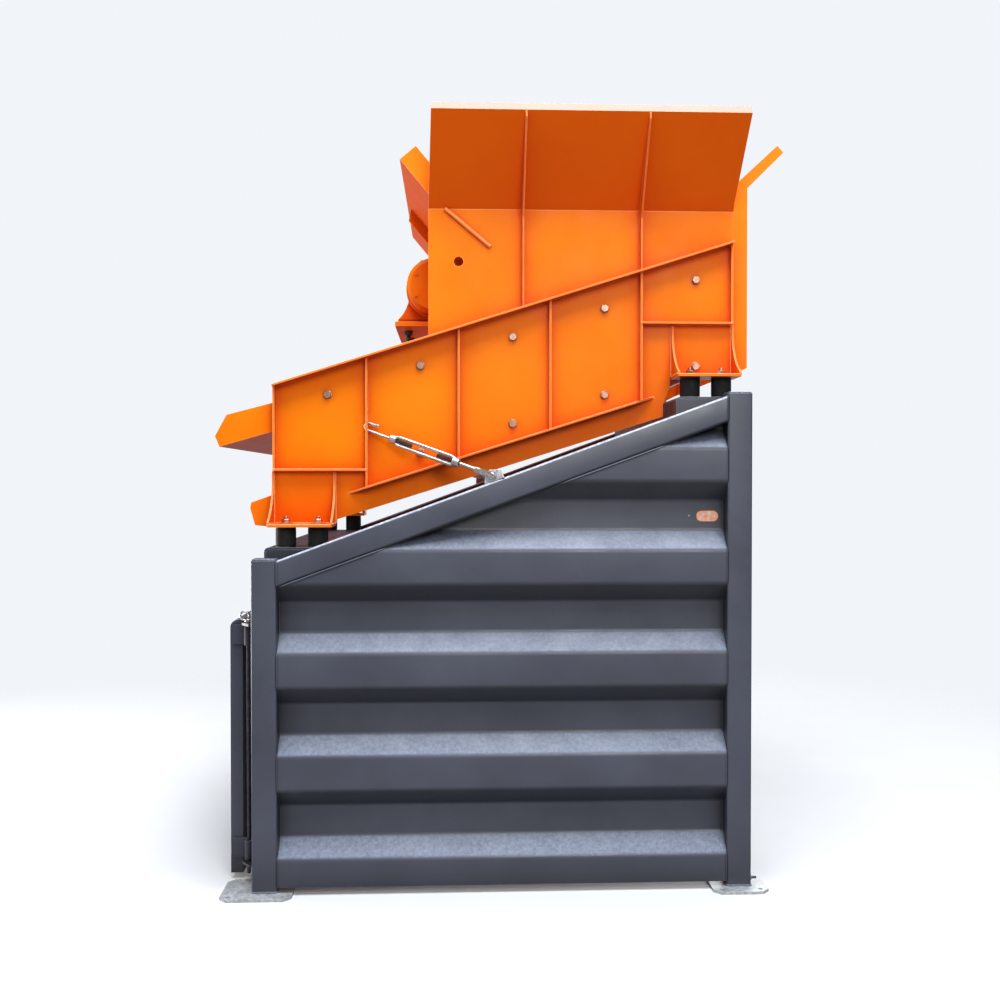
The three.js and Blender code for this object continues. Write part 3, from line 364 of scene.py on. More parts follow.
class Builder:
    """Gathers the faces of one piece, each with its material, and then makes the piece."""

    def __init__(self, *materials):
        self.bm = bmesh.new()
        self.materials = materials

    def loft(self, rings, material=0, closed=False):
        """Joins rings of points with faces. An open row of rings is capped at both ends."""
        rows = [[self.bm.verts.new(point) for point in ring] for ring in rings]
        faces = []
        for here, there in zip(rows, rows[1:] + rows[:1] if closed else rows[1:]):
            for i, corner in enumerate(here):
                j = (i + 1) % len(here)
                faces.append(self.bm.faces.new((corner, here[j], there[j], there[i])))
        if not closed:
            faces.append(self.bm.faces.new(rows[0][::-1]))
            faces.append(self.bm.faces.new(rows[-1]))
        for face in faces:
            face.material_index = material

    def prism(self, outline, place, depth, material=0):
        """An outline swept along the third axis of its place."""
        ends = (0.0, depth)
        self.loft([[place @ Vector((a, b, c)) for a, b in outline] for c in ends], material)

    def lathe(self, profile, place, sides=24, material=0, closed=False):
        """A profile of (radius, height) points, turned about the third axis of its place."""
        angles = [2 * math.pi * i / sides for i in range(sides)]
        rings = [[place @ Vector((r * math.cos(a), r * math.sin(a), h)) for a in angles]
                 for r, h in profile]
        self.loft(rings, material, closed)

    def disc(self, place, radius, thickness, chamfer, sides, material=0):
        """A round disc with both rims chamfered."""
        self.lathe([(radius - chamfer, 0), (radius, chamfer), (radius, thickness - chamfer),
                    (radius - chamfer, thickness)], place, sides, material)

    def tube(self, path, radius, sides=12, material=0, closed=False):
        """A bar along a path. The radius is a number, or a function of ring number and angle."""
        points = [Vector(point) for point in path]
        last = len(points) - 1
        angles = [2 * math.pi * i / sides for i in range(sides)]
        across = None
        rings = []
        for i, point in enumerate(points):
            before = points[i - 1] if i > 0 or closed else point
            after = points[(i + 1) % (last + 1)] if i < last or closed else point
            along = (after - before).normalized()
            across = along.orthogonal() if across is None else across - along * across.dot(along)
            across.normalize()
            up = along.cross(across)
            size = radius if callable(radius) else lambda ring, angle: radius
            rings.append([point + (across * math.cos(a) + up * math.sin(a)) * size(i, a)
                          for a in angles])
        self.loft(rings, material, closed)

    def thread(self, start, end, radius, pitch, material=0):
        """A threaded bar: its radius rises and falls along a helix."""
        a, b = Vector(start), Vector(end)
        rings = max(2, round((b - a).length / pitch * 4))
        depth = pitch * 0.45

        def size(ring, angle):
            turn = ring / 4 - angle / (2 * math.pi)
            return radius - depth * abs(2 * (turn % 1) - 1)

        self.tube([a.lerp(b, i / rings) for i in range(rings + 1)], size, 12, material)

    def bead(self, path, radius, material=0):
        """A weld bead: a thin bar with ripples, along a line of straight stretches."""
        step = 0.007
        points = [Vector(path[0])]
        for a, b in zip(path, path[1:]):
            count = max(1, round((Vector(b) - Vector(a)).length / step))
            points += [Vector(a).lerp(Vector(b), i / count) for i in range(1, count + 1)]
        self.tube(points, lambda ring, angle: radius * (1 + 0.16 * math.sin(ring * 2.1)), 6, material)

    def bolt(self, place, thread, washer, material=0, turn=0.0):
        """Hex bolt head on a washer, by the thread's and the washer's diameters. The place's third
        axis points out of the surface, and turn is the head's angle in radians."""
        flats = thread * 1.5
        height = thread * 0.63
        washer_thick = thread * 0.15
        rim = washer / 2
        self.lathe([(rim - 0.0005, 0), (rim, 0.0005), (rim, washer_thick - 0.0005),
                    (rim - 0.0008, washer_thick)], place, 28, material)
        corner = flats / math.sqrt(3)
        head = [(corner, washer_thick), (corner, washer_thick + height * 0.82),
                (corner * 0.88, washer_thick + height)]
        self.lathe(head, place @ Matrix.Rotation(turn, 4, "Z"), 6, material)

    def flip(self):
        """Turns what is built into its mirror image on the far side."""
        bmesh.ops.scale(self.bm, vec=(1, -1, 1), verts=self.bm.verts)

    def piece(self, name, body, slot, nodes=(), edge=0.0):
        """Makes the object. It rides on a body, and it may stand for CAD nodes."""
        bmesh.ops.recalc_face_normals(self.bm, faces=self.bm.faces)
        mesh = bpy.data.meshes.new(name)
        self.bm.to_mesh(mesh)
        self.bm.free()
        for material in self.materials:
            mesh.materials.append(material)
        mesh.shade_smooth()
        mesh.set_sharp_from_angle(angle=SHARP_ANGLE)
        made = bpy.data.objects.new(name, mesh)
        scene.collection.objects.link(made)
        if edge:
            soften(made, edge, len(self.materials) - 1)
        if body:
            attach(made, body)
        if nodes:
            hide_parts(*nodes)
        return made


def soften(piece, width, material):
    """Rounds a piece's sharp edges and gives them the edge material."""
    bevel = piece.modifiers.new("edges", "BEVEL")
    bevel.width = width
    bevel.segments = 2
    bevel.limit_method = "ANGLE"
    bevel.angle_limit = BEVEL_ANGLE
    bevel.material = material


def pair(name, build, materials, body, slot, nodes=(), **finish):
    """Makes a piece on the near side, and its mirror image on the far side."""
    for side in SIDES:
        builder = Builder(*materials)
        build(builder)
        if side == "far":
            builder.flip()
        twins = [f"{node}_{side}" for node in nodes]
        builder.piece(f"{name}_{side}", body.format(side), slot, twins, **finish)


# ---------------------------------------------------------------- CAD nodes that stay

CAD_FINISH = (
    (("gate_leaf",), grey_paint, grey_edge),
    (("base_plate", "tie_lug"), zinc, zinc),
    (("gate_bracket",), dark_steel, dark_steel),
    (("motor_rotor", "motor_bearing", "eccentric"), machined, machined),
    (("motor_stator",), windings, windings),
    (("",), orange_paint, orange_edge_highlight_and_wear),     # all the rest, and nodes that a piece below replaces
)
EDGE_WIDTH = 0.0015


def finish_cad(name, node):
    """Gives a CAD node its surface and edge materials, and softens its edges with modifiers only."""
    surface, edge = next((a, b) for starts, a, b in CAD_FINISH if name.startswith(starts))
    node.data.materials.clear()
    node.data.materials.append(surface)
    node.data.materials.append(edge)
    weld = node.modifiers.new("weld", "WELD")
    weld.merge_threshold = 0.00002
    flat = node.modifiers.new("flat", "DECIMATE")
    flat.decimate_type = "DISSOLVE"
    flat.angle_limit = math.radians(0.5)
    soften(node, EDGE_WIDTH, 1)


for node_name, cad_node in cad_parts.items():
    finish_cad(node_name, cad_node)

# ---------------------------------------------------------------- lines that pieces follow

SIDE_LOW, SIDE_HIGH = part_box("side_plate_near")
SIDE_THICK = 0.008
SIDE_Y = SIDE_THICK - SIDE_HIGH.y       # the side plates' outer faces, from the middle
INNER_Y = SIDE_Y - SIDE_THICK
SLOPE = math.tan(math.radians(17.5))    # fall of both decks
RAIL_LOW_Z, RAIL_HIGH_Z, RAIL_RUN = 1.330, 1.988, 1.8
RAIL_SLOPE = (RAIL_HIGH_Z - RAIL_LOW_Z) / RAIL_RUN
RAIL_RISE = math.hypot(1, RAIL_SLOPE)   # the sloping tube's height, cut upright, over its width
RIB_PITCH = 0.381
RIB_COUNT = 6
FIRST_RIB_X = SIDE_LOW.x + SIDE_THICK / 2
FIRST_PIPE_X = -0.722
PIPE_PITCH = 0.385
PIPE_COUNT = 5
DECK_DROPS = {"upper": 0.108, "lower": 0.470}       # pipes' middles, below the box's top line
STIFFENER_DROP = 0.541
OUT = Matrix.Rotation(math.radians(90), 4, "X")     # third axis towards -Y, out of the near side


def box_top(x):
    """Height of the screen box's sloping top line."""
    return SIDE_HIGH.z - (SIDE_HIGH.x - x) * SLOPE


def pipe_places(deck):
    """The middles of a deck's cross pipes, in X and Z."""
    xs = [FIRST_PIPE_X + i * PIPE_PITCH for i in range(PIPE_COUNT)]
    return [(x, box_top(x) - DECK_DROPS[deck]) for x in xs]


# Bolt sizes: the thread's and the washer's diameters.
M6 = (0.006, 0.010)
M8 = (0.008, 0.016)
M12 = (0.012, 0.024)
M20 = (0.020, 0.037)
M24 = (0.024, 0.044)

# ---------------------------------------------------------------- frame

TUBE = 0.100
TUBE_CORNER = 0.009
RAIL_CORNER = 0.013
CAP = 0.005
CAP_INSET = 0.003
SHEET = 0.004


def build_post(node):
    """Post tube with its cap, and a bead round its foot."""
    low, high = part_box(f"{node}_near")
    middle = (low + high) / 2

    def build(b):
        place = at(middle.x, middle.y, low.z)
        b.prism(rounded_rect(TUBE / 2, TUBE / 2, TUBE_CORNER), place, high.z - low.z - CAP)
        cap_half = TUBE / 2 - CAP_INSET
        b.prism(rounded_rect(cap_half, cap_half, TUBE_CORNER), at(middle.x, middle.y, high.z - CAP), CAP)
        foot = [place @ Vector((a, c, 0.002)) for a, c in rounded_rect(TUBE / 2, TUBE / 2, TUBE_CORNER)]
        b.tube(foot, 0.0045, 6, closed=True)

    return build


def rail_section(x, low, high):
    """The sloping rail's outline where an upright plane across the machine cuts it."""
    middle_y = (low.y + high.y) / 2
    middle_z = high.z - (high.x - x) * RAIL_SLOPE - RAIL_RISE * TUBE / 2
    section = rounded_rect(TUBE / 2, TUBE / 2, RAIL_CORNER)
    return [(x, middle_y + a, middle_z + c * RAIL_RISE) for a, c in section]


def build_rail(b):
    """Sloping tube. Its round corners get a paler material, a painted highlight where they catch the
    light.
    """
    low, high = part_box("rail_near")
    b.loft([rail_section(low.x, low, high), rail_section(high.x, low, high)])
    b.bm.normal_update()
    for face in b.bm.faces:
        if 0.01 < abs(face.normal.y) < 0.99:    # neither a side of the tube nor its top or bottom
            face.material_index = 1
    for x in (low.x + 0.001, high.x - 0.001):
        b.tube(rail_section(x, low, high), 0.0035, 6, closed=True)


def wall_line(low, high):
    """Middle line of the corrugated sheet, from the ground up, in Y and Z."""
    pitch, outer_flat, flank_rise, first_flat, fold = 0.409, 0.133, 0.076, 0.110, 0.012
    outer = low.y + SHEET / 2
    inner = high.y - SHEET / 2
    line = [(outer, low.z)]
    flat_top = low.z + first_flat
    while flat_top < high.z + pitch:
        next_flat = flat_top + pitch - outer_flat
        line += [(outer, flat_top), (inner, flat_top + flank_rise)]
        line += [(inner, next_flat - flank_rise), (outer, next_flat)]
        flat_top += pitch
    return soft_line(line, fold)


def build_wall(b):
    """Corrugated sheet with its edge seams, cut off along the rail's underside and welded there."""
    low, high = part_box("wall_near")
    line = wall_line(low, high)
    b.prism(sheet_outline(line, SHEET), at(low.x, 0, 0, ALONG_X), high.x - low.x)
    for x in (low.x + 0.001, high.x - 0.001):
        b.tube([(x, y - SHEET / 2, z) for y, z in line], 0.003, 6)
    parts = list(b.bm.verts) + list(b.bm.edges) + list(b.bm.faces)
    cut = bmesh.ops.bisect_plane(b.bm, geom=parts, dist=1e-7, plane_co=(high.x, 0, high.z - 0.0005),
                                 plane_no=(-RAIL_SLOPE, 0, 1), clear_outer=True)
    rim = [part for part in cut["geom_cut"] if isinstance(part, bmesh.types.BMEdge)]
    bmesh.ops.edgeloop_fill(b.bm, edges=rim)
    seam = [(high.x - (high.z - z) / RAIL_SLOPE, y - SHEET / 2, z - 0.001) for y, z in line]
    b.tube([point for point in seam if low.x < point[0] < high.x], 0.0042, 8)


def build_beam(node):
    """Pressed channel, open below, with a plate in each end."""
    low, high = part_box(node)
    wall = 0.008

    def build(b):
        x0, x1, top = low.x + wall / 2, high.x - wall / 2, high.z - wall / 2
        fold = 0.016
        line = soft_line([(x0, low.z), (x0, top), (x1, top), (x1, low.z)], fold, 6)
        b.prism(sheet_outline(line, wall), at(0, low.y, 0, ALONG_Y), high.y - low.y)
        plate = [(low.x + wall, low.z), (high.x - wall, low.z),
                 (high.x - wall, high.z - wall), (low.x + wall, high.z - wall)]
        for y in (low.y, high.y - wall):
            b.prism(plate, at(0, y, 0, ALONG_Y), wall)

    return build


for end in ENDS:
    pair(f"post_tube_{end}", build_post(f"post_{end}"), (grey_paint, grey_edge), "frame",
         "frame_paint", [f"post_{end}"], edge=EDGE_WIDTH)
    beam = Builder(grey_paint, grey_edge)
    build_beam(f"buffer_beam_{end}")(beam)
    beam.piece(f"pressed_beam_{end}", "frame", "frame_paint", [f"buffer_beam_{end}"], edge=0.0012)
pair("rail_tube", build_rail, (grey_paint, rail_corner_highlight), "frame", "frame_paint", ["rail"])
pair("corrugated_wall", build_wall, (grey_sheet,), "frame", "frame_paint", ["wall"])


def build_post_bolt(b):
    """Painted stud with its nut, low on the high post's outer face."""
    low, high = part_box("post_high_near")
    y, z = low.y + 0.035, 0.034
    stud_start, stud_end, stud_r, stud_pitch = 0.008, 0.029, 0.0058, 0.00175
    b.bolt(at(high.x, y, z, ALONG_X), *M12)
    b.thread((high.x + stud_start, y, z), (high.x + stud_end, y, z), stud_r, stud_pitch)


pair("post_bolt", build_post_bolt, (grey_edge,), "frame", "frame_paint")


def build_blank_plate(b):
    """Pill-shaped plate on the wall's recessed flat, with a lower rim and a rivet beside it."""
    wall_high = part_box("wall_near")[1]
    place = at(0.832, wall_high.y - SHEET, 1.503, OUT)
    half_width, half_height, rim = 0.048, 0.025, 0.004
    rivet_distance, rivet_r = 0.074, 0.006
    for inset, depth, material in ((0.0, 0.0012, 1), (rim, 0.0020, 0)):
        width, height = half_width - inset, half_height - inset
        b.prism(rounded_rect(width, height, height - 0.0001, 10), place, depth, material)
    rivet = place @ Matrix.Translation((-rivet_distance, 0, 0))
    b.lathe([(rivet_r, 0), (rivet_r - 0.0008, 0.0018), (rivet_r - 0.0035, 0.0028)], rivet, 14, 2)


plate = Builder(plate_face, plate_rim, grey_edge)
build_blank_plate(plate)
plate.piece("blank_plate_near", "frame", "galvanised")

# ---------------------------------------------------------------- feet and buffers

FOOT_PLATE = 0.012
FIT_GAP = 0.0003                        # between plates that lie against each other


def build_foot(node):
    """Base plate with two curved gussets against the side plate, and the beads of all three."""
    low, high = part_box(f"{node}_near")
    gusset_thick, bead = 0.008, 0.0035
    top = low.z + FOOT_PLATE
    face = -SIDE_Y - FIT_GAP

    def build(b):
        middle = ((low.x + high.x) / 2, (low.y + high.y) / 2)
        half = ((high.x - low.x) / 2, (high.y - low.y) / 2)
        b.prism(rounded_rect(*half, 0.010), at(*middle, low.z), FOOT_PLATE)
        toe = low.y + 0.004
        neck = -SIDE_Y - 0.012
        sweep = curve((neck, high.z), (neck, top + 0.070), (toe, top + 0.010), 20)
        gusset = [(face, top), (face, high.z)] + sweep + [(toe, top)]
        for x in (low.x + 0.0002, high.x - gusset_thick - 0.0002):
            b.prism(gusset, at(x, 0, 0, ALONG_X), gusset_thick)
            for edge in (x, x + gusset_thick):
                b.bead([(edge, toe + 0.006, top), (edge, face - 0.002, top)], bead)
                b.bead([(edge, face, top), (edge, face, high.z - 0.004)], bead)
        b.bead([(low.x + 0.012, face, top), (high.x - 0.012, face, top)], bead)

    return build


def build_foot_bolts(end):
    """Over each buffer a stud with its nut, on a wide washer painted with the foot."""
    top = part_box(f"foot_{end}_near")[0].z + FOOT_PLATE
    washer_r, washer_thick = 0.030, 0.004
    stud_start, stud_end, stud_r, stud_pitch = 0.018, 0.030, 0.0095, 0.0025

    def build(b):
        for spot in ("outer", "inner"):
            low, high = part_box(f"buffer_{end}_{spot}_near")
            x, y, _ = (low + high) / 2
            b.disc(at(x, y, top), washer_r, washer_thick, 0.001, 32, 1)
            b.bolt(at(x, y, top + washer_thick), *M20, turn=0.3)
            b.thread((x, y, top + stud_start), (x, y, top + stud_end), stud_r, stud_pitch)

    return build


def buffer_piece(node):
    """Round rubber block between two bonded steel discs; in the machine it gives as the screen box
    bounces.
    """
    low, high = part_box(node)
    middle = (low + high) / 2
    radius = (high.x - low.x) / 2
    disc = 0.004
    b = Builder(buffer_rubber, dark_steel)
    for z in (low.z, high.z - disc):
        b.disc(at(middle.x, middle.y, z), radius, disc, 0.0008, 36, 1)
    z0, z1 = low.z + disc, high.z - disc
    steps, inset, groove = 16, 0.0005, 0.0010
    profile = []
    for i in range(steps + 1):
        share = i / steps
        waist = groove * (1 - min(1, 8 * min(share, 1 - share)))    # narrower next to the discs
        profile.append((radius - inset - waist, z0 + (z1 - z0) * share))
    b.lathe(profile, at(middle.x, middle.y, 0), 36, 0)
    made = b.piece(f"rubber_{node}", None, "buffer_rubber", [node])
    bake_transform(made)


for end in ENDS:
    pair(f"foot_weldment_{end}", build_foot(f"foot_{end}"), (orange_paint, orange_edge_highlight_and_wear), "screen_box",
         "box_paint", [f"foot_{end}"], edge=EDGE_WIDTH)
    pair(f"foot_bolts_{end}", build_foot_bolts(end), (bolt_zinc_painted_reflection, orange_weld), "screen_box",
         "galvanised")
    for spot in ("outer", "inner"):
        for side in SIDES:
            buffer_piece(f"buffer_{end}_{spot}_{side}")

# ---------------------------------------------------------------- screen box


def build_deck_bolts(b):
    """Bolts into the ends of the decks' pipes. The lower deck's first pipe is welded in."""
    hidden = {("lower", 0)}
    for deck in DECK_DROPS:
        for i, (x, z) in enumerate(pipe_places(deck)):
            if (deck, i) not in hidden:
                b.bolt(at(x, -SIDE_Y, z, OUT), *M20, turn=0.4 + 0.7 * i)


def build_side_welds(b):
    """Beads along the ribs, the top flange, the bottom stiffener and the shelves."""
    bead = 0.003
    face = -SIDE_Y
    shelf_low, shelf_high = (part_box(f"foot_{end}_near")[1].z + SIDE_THICK for end in ENDS)
    for i in range(RIB_COUNT):
        x = FIRST_RIB_X + i * RIB_PITCH
        bottom = {0: shelf_low, RIB_COUNT - 1: shelf_high}.get(i, box_top(x) - STIFFENER_DROP)
        for edge in (x - SIDE_THICK / 2, x + SIDE_THICK / 2):
            if SIDE_LOW.x + 0.001 < edge < SIDE_HIGH.x - 0.001:
                b.bead([(edge, face, bottom), (edge, face, box_top(edge) - SIDE_THICK)], bead)
    x0, x1 = SIDE_LOW.x + 0.010, SIDE_HIGH.x - 0.010
    under = SIDE_THICK + 0.001
    b.bead([(x0, face, box_top(x0) - under), (x1, face, box_top(x1) - under)], bead)
    x0, x1 = -0.620, 0.628              # just inside the stiffener's ends
    for drop in (STIFFENER_DROP, STIFFENER_DROP + SIDE_THICK):
        b.bead([(x0, face, box_top(x0) - drop), (x1, face, box_top(x1) - drop)], bead)
    for z, first in ((shelf_low, 0), (shelf_high, RIB_COUNT - 2)):
        x = FIRST_RIB_X + first * RIB_PITCH
        b.bead([(x + 0.006, face, z), (x + RIB_PITCH - 0.006, face, z)], bead)


def build_hopper_welds(b):
    """Beads up both sides of the hopper's ribs, and along its foot on the box's top flange."""
    rib_xs, half_rib = (0.090, 0.584), 0.003
    bend_z, flare_y, flare_z = 2.778, 0.960, 3.113
    for rib_x in rib_xs:
        for x in (rib_x - half_rib, rib_x + half_rib):
            b.bead([(x, -SIDE_Y, box_top(x) + 0.004), (x, -SIDE_Y, bend_z),
                    (x, -flare_y + 0.006, flare_z - 0.008)], 0.0028)
    x0, x1 = -0.300, 0.972              # just inside the hopper's ends
    b.bead([(x0, -SIDE_Y, box_top(x0) + 0.002), (x1, -SIDE_Y, box_top(x1) + 0.002)], 0.003)


pair("deck_bolts", build_deck_bolts, (bolt_zinc_painted_reflection,), "screen_box", "galvanised")
pair("side_welds", build_side_welds, (orange_weld,), "screen_box", "box_paint")
pair("hopper_welds", build_hopper_welds, (orange_weld,), "screen_box", "box_paint")

# ---------------------------------------------------------------- decks

DECK_X0 = SIDE_LOW.x + 0.019
DECK_X1 = SIDE_HIGH.x - 0.014
BEARER_LINES = (-0.696, -0.418, -0.139, 0.139, 0.418, 0.696)
BEARER_LOW, BEARER_HIGH = 0.035, 0.050  # over the pipes' middles
BEARER_WIDTH = 0.016


def build_deck_frame(b, deck):
    """Cross pipes with a plug in each end, and bearer bars over them down the slope."""
    outer, inner, plug = 0.038, 0.032, 0.012
    end = INNER_Y - FIT_GAP
    for x, z in pipe_places(deck):
        place = at(x, -end, z, ALONG_Y)
        b.lathe([(outer, 0), (outer, 2 * end), (inner, 2 * end), (inner, 0)], place, 32, 0, closed=True)
        for y in (-end + 0.001, end - plug - 0.001):
            b.lathe([(inner + 0.001, 0), (inner + 0.001, plug)], at(x, y, z, ALONG_Y), 24, 0)
    z0, z1 = (box_top(x) - DECK_DROPS[deck] for x in (DECK_X0, DECK_X1))
    bar = [(DECK_X0, z0 + BEARER_LOW), (DECK_X1, z1 + BEARER_LOW),
           (DECK_X1, z1 + BEARER_HIGH), (DECK_X0, z0 + BEARER_HIGH)]
    for y in BEARER_LINES:
        b.prism(bar, at(0, y - BEARER_WIDTH / 2, 0, ALONG_Y), BEARER_WIDTH)


def build_screen(b, deck, pitch, wire, sides):
    """Woven wire held between two strips along each side. Crossing wires pass over and under."""
    strip, strip_thick = 0.034, 0.0015
    base = BEARER_HIGH + 0.0005 - DECK_DROPS[deck]
    y1 = INNER_Y - 0.008
    columns = int((DECK_X1 - DECK_X0 - wire) / pitch)
    rows = int((2 * y1 - strip) / pitch)
    x_start = (DECK_X0 + DECK_X1 - columns * pitch) / 2
    y_start = -rows * pitch / 2
    lift = wire / 2

    def point(i, j, sign):
        x, y = x_start + i * pitch, y_start + j * pitch
        wave = sign * lift * math.cos(math.pi * (i + j))
        return (x, y, box_top(x) + base + wire + wave)

    for j in range(rows + 1):
        b.tube([point(i / 2, j, 1) for i in range(2 * columns + 1)], wire / 2, sides)
    for i in range(columns + 1):
        b.tube([point(i, j / 2, -1) for j in range(2 * rows + 1)], wire / 2, sides)
    for side in (-1, 1):
        y0, y2 = sorted((side * y1, side * (y1 - strip)))
        for height in (0.0, 2 * wire + 0.0005):
            rings = []
            for x in (DECK_X0, DECK_X1):
                lower = box_top(x) + base + height
                upper = lower + strip_thick
                rings.append([(x, y0, lower), (x, y2, lower), (x, y2, upper), (x, y0, upper)])
            b.loft(rings, 1)


for deck, pitch, wire, sides in (("upper", 0.046, 0.0055, 6), ("lower", 0.029, 0.004, 5)):
    pipes = Builder(orange_paint, orange_edge_highlight_and_wear)
    build_deck_frame(pipes, deck)
    pipes.piece(f"deck_pipes_{deck}", "screen_box", "box_paint", [f"deck_frame_{deck}"], edge=0.001)
    weave = Builder(wire_steel, dark_steel)
    build_screen(weave, deck, pitch, wire, sides)
    weave.piece(f"woven_screen_{deck}", "screen_box", "screen_steel", [f"screen_{deck}"])

# ---------------------------------------------------------------- vibrator

MOTOR_X, MOTOR_Z = -0.285, 2.535
MOTOR_FOOT_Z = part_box("motor_housing")[0].z
MOTOR_FOOT_HALF = 0.172
MOTOR_FOOT_THICK = 0.026
MOTOR_HALF = 0.210
FOOT_BOLTS = [(MOTOR_X + x, y) for x in (-0.127, 0.127) for y in (-0.130, 0.130)]
TERMINAL_X, TERMINAL_Z = MOTOR_X - 0.030, MOTOR_Z + 0.100
TERMINAL_HEIGHT, LID_THICK = 0.050, 0.008


def build_motor_body(b):
    """Hollow cast body with cooling fins, a foot on webs and a terminal box."""
    bore, bore_half, seat, skin = 0.100, 0.165, 0.0603, 0.122
    place = at(MOTOR_X, 0, MOTOR_Z, ALONG_Y)
    b.lathe([(skin, -MOTOR_HALF), (skin, MOTOR_HALF), (seat, MOTOR_HALF), (seat, bore_half),
             (bore, bore_half), (bore, -bore_half), (seat, -bore_half), (seat, -MOTOR_HALF)],
            place, 48, 0, closed=True)
    flange_in, flange_out, flange_thick = 0.110, 0.133, 0.018
    flange = [(flange_in, 0), (flange_out, 0), (flange_out, flange_thick), (flange_in, flange_thick)]
    for y in (-MOTOR_HALF, MOTOR_HALF - flange_thick):
        b.lathe(flange, place @ Matrix.Translation((0, 0, y)), 48, 0, closed=True)
    fin, fin_r, fin_half = rounded_rect(0.008, 0.0025, 0.0018, 2), 0.126, 0.180
    for degrees in range(-20, 201, 10):
        angle = math.radians(degrees)
        centre = Vector((math.cos(angle), math.sin(angle))) * fin_r
        turn = Matrix.Rotation(angle, 2)
        outline = [tuple(centre + turn @ Vector(point)) for point in fin]
        b.prism(outline, place @ Matrix.Translation((0, 0, -fin_half)), 2 * fin_half)
    left, right = MOTOR_X - MOTOR_FOOT_HALF, MOTOR_X + MOTOR_FOOT_HALF
    z, top = MOTOR_FOOT_Z, MOTOR_FOOT_Z + MOTOR_FOOT_THICK
    foot_half = 0.190
    b.prism([(left, z), (right, z), (right, top), (left, top)],
            at(0, -foot_half, 0, ALONG_Y), 2 * foot_half)
    waist, waist_z = 0.118, MOTOR_Z - 0.030
    rise = curve((right, top), (right - 0.040, z + 0.060), (MOTOR_X + waist, waist_z), 12)
    fall = curve((MOTOR_X - waist, waist_z), (left + 0.040, z + 0.060), (left, top), 12)
    for y in (-0.190, -0.084, 0.064, 0.170):
        b.prism([(left, z + 0.020), (right, z + 0.020)] + rise + fall, at(0, y, 0, ALONG_Y), 0.020)
    b.prism(rounded_rect(0.040, 0.070, 0.010), at(TERMINAL_X, 0, TERMINAL_Z), TERMINAL_HEIGHT)
    lid = at(TERMINAL_X, 0, TERMINAL_Z + TERMINAL_HEIGHT)
    b.prism(rounded_rect(0.043, 0.073, 0.012), lid, LID_THICK)


def build_motor_bolts(b):
    """Foot bolts with their nuts under the plate, and the terminal box's screws."""
    plate_low = MOTOR_FOOT_Z - 0.020 - FIT_GAP
    thread_r, thread_pitch = 0.0115, 0.003
    for x, y in FOOT_BOLTS:
        b.bolt(at(x, y, MOTOR_FOOT_Z + MOTOR_FOOT_THICK), *M24, turn=y * 9)
        down = at(x, y, plate_low, Matrix.Rotation(math.pi, 4, "X"))
        b.bolt(down, *M24, material=1, turn=x * 7)
        b.thread((x, y, plate_low - 0.015), (x, y, plate_low - 0.034), thread_r, thread_pitch, 1)
    lid_top = TERMINAL_Z + TERMINAL_HEIGHT + LID_THICK
    for x in (-0.036, 0.036):
        for y in (-0.064, 0.064):
            b.bolt(at(TERMINAL_X + x, y, lid_top), *M6)


def build_motor_cover(b):
    """Pressed cover over the eccentric weight, with a rim and six screws."""
    place = at(MOTOR_X, -MOTOR_HALF - FIT_GAP, MOTOR_Z, OUT)
    screw_ring, screw_height = 0.096, 0.1085
    b.lathe([(0.020, 0.104), (0.106, 0.104), (0.118, 0.094), (0.120, 0.0), (0.131, 0.0), (0.131, 0.006),
             (0.126, 0.008), (0.126, 0.096), (0.110, 0.109), (0.020, 0.109)], place, 48, 0)
    for i in range(6):
        angle = math.radians(30 + 60 * i)
        spot = (screw_ring * math.cos(angle), screw_ring * math.sin(angle), screw_height)
        b.bolt(place @ Matrix.Translation(spot), *M8, turn=angle)


body = Builder(orange_paint, orange_edge_highlight_and_wear)
build_motor_body(body)
body.piece("motor_body", "screen_box", "box_paint", ["motor_housing"], edge=0.0012)
motor_bolts = Builder(bolt_zinc_painted_reflection, dark_steel)
build_motor_bolts(motor_bolts)
motor_bolts.piece("motor_bolts", "screen_box", "galvanised")
pair("motor_end_cover", build_motor_cover, (orange_paint,), "screen_box", "box_paint", ["motor_cover"])

# ---------------------------------------------------------------- turnbuckle ties

HOOK_AT = Vector((-0.559, -0.735, 1.857))
PIN_AT = Vector((-0.042, -0.930, 1.667))
BODY_START, BODY_END = 0.112, 0.432
ROD_R, THREAD_R, THREAD_PITCH = 0.0066, 0.0090, 0.003
tie_along = (PIN_AT - HOOK_AT).normalized()
tie_out = Vector((tie_along.y, -tie_along.x, 0)).normalized()
tie_up = tie_out.cross(tie_along)
TIE_LENGTH = (PIN_AT - HOOK_AT).length
TIE = Matrix.Translation(HOOK_AT) @ Matrix((tie_along, tie_up, tie_out)).transposed().to_4x4()


def tie_point(s, v, n=0.0):
    """A point by its distance along the tie, its height over the tie's line, and outwards."""
    return TIE @ Vector((s, v, n))


def build_tie_body(b):
    """Turnbuckle's body: a bored boss at each end and two bars between them."""
    boss, boss_length, bore, bar, chamfer = 0.018, 0.030, 0.0096, 0.0072, 0.003
    for s in (BODY_START, BODY_END - boss_length):
        place = TIE @ at(s, 0, 0, ALONG_X)
        b.lathe([(boss - chamfer, 0), (boss, chamfer), (boss, boss_length - chamfer),
                 (boss - chamfer, boss_length), (bore, boss_length), (bore, 0)],
                place, 24, 0, closed=True)
    for sign in (-1, 1):
        close, wide = 0.0118 * sign, 0.0172 * sign
        path = [(BODY_START + 0.006, close), (BODY_START + 0.020, close), (BODY_START + 0.042, wide),
                (BODY_END - 0.042, wide), (BODY_END - 0.020, close), (BODY_END - 0.006, close)]
        b.tube([tie_point(s, v) for s, v in soft_line(path, 0.008)], bar, 14)


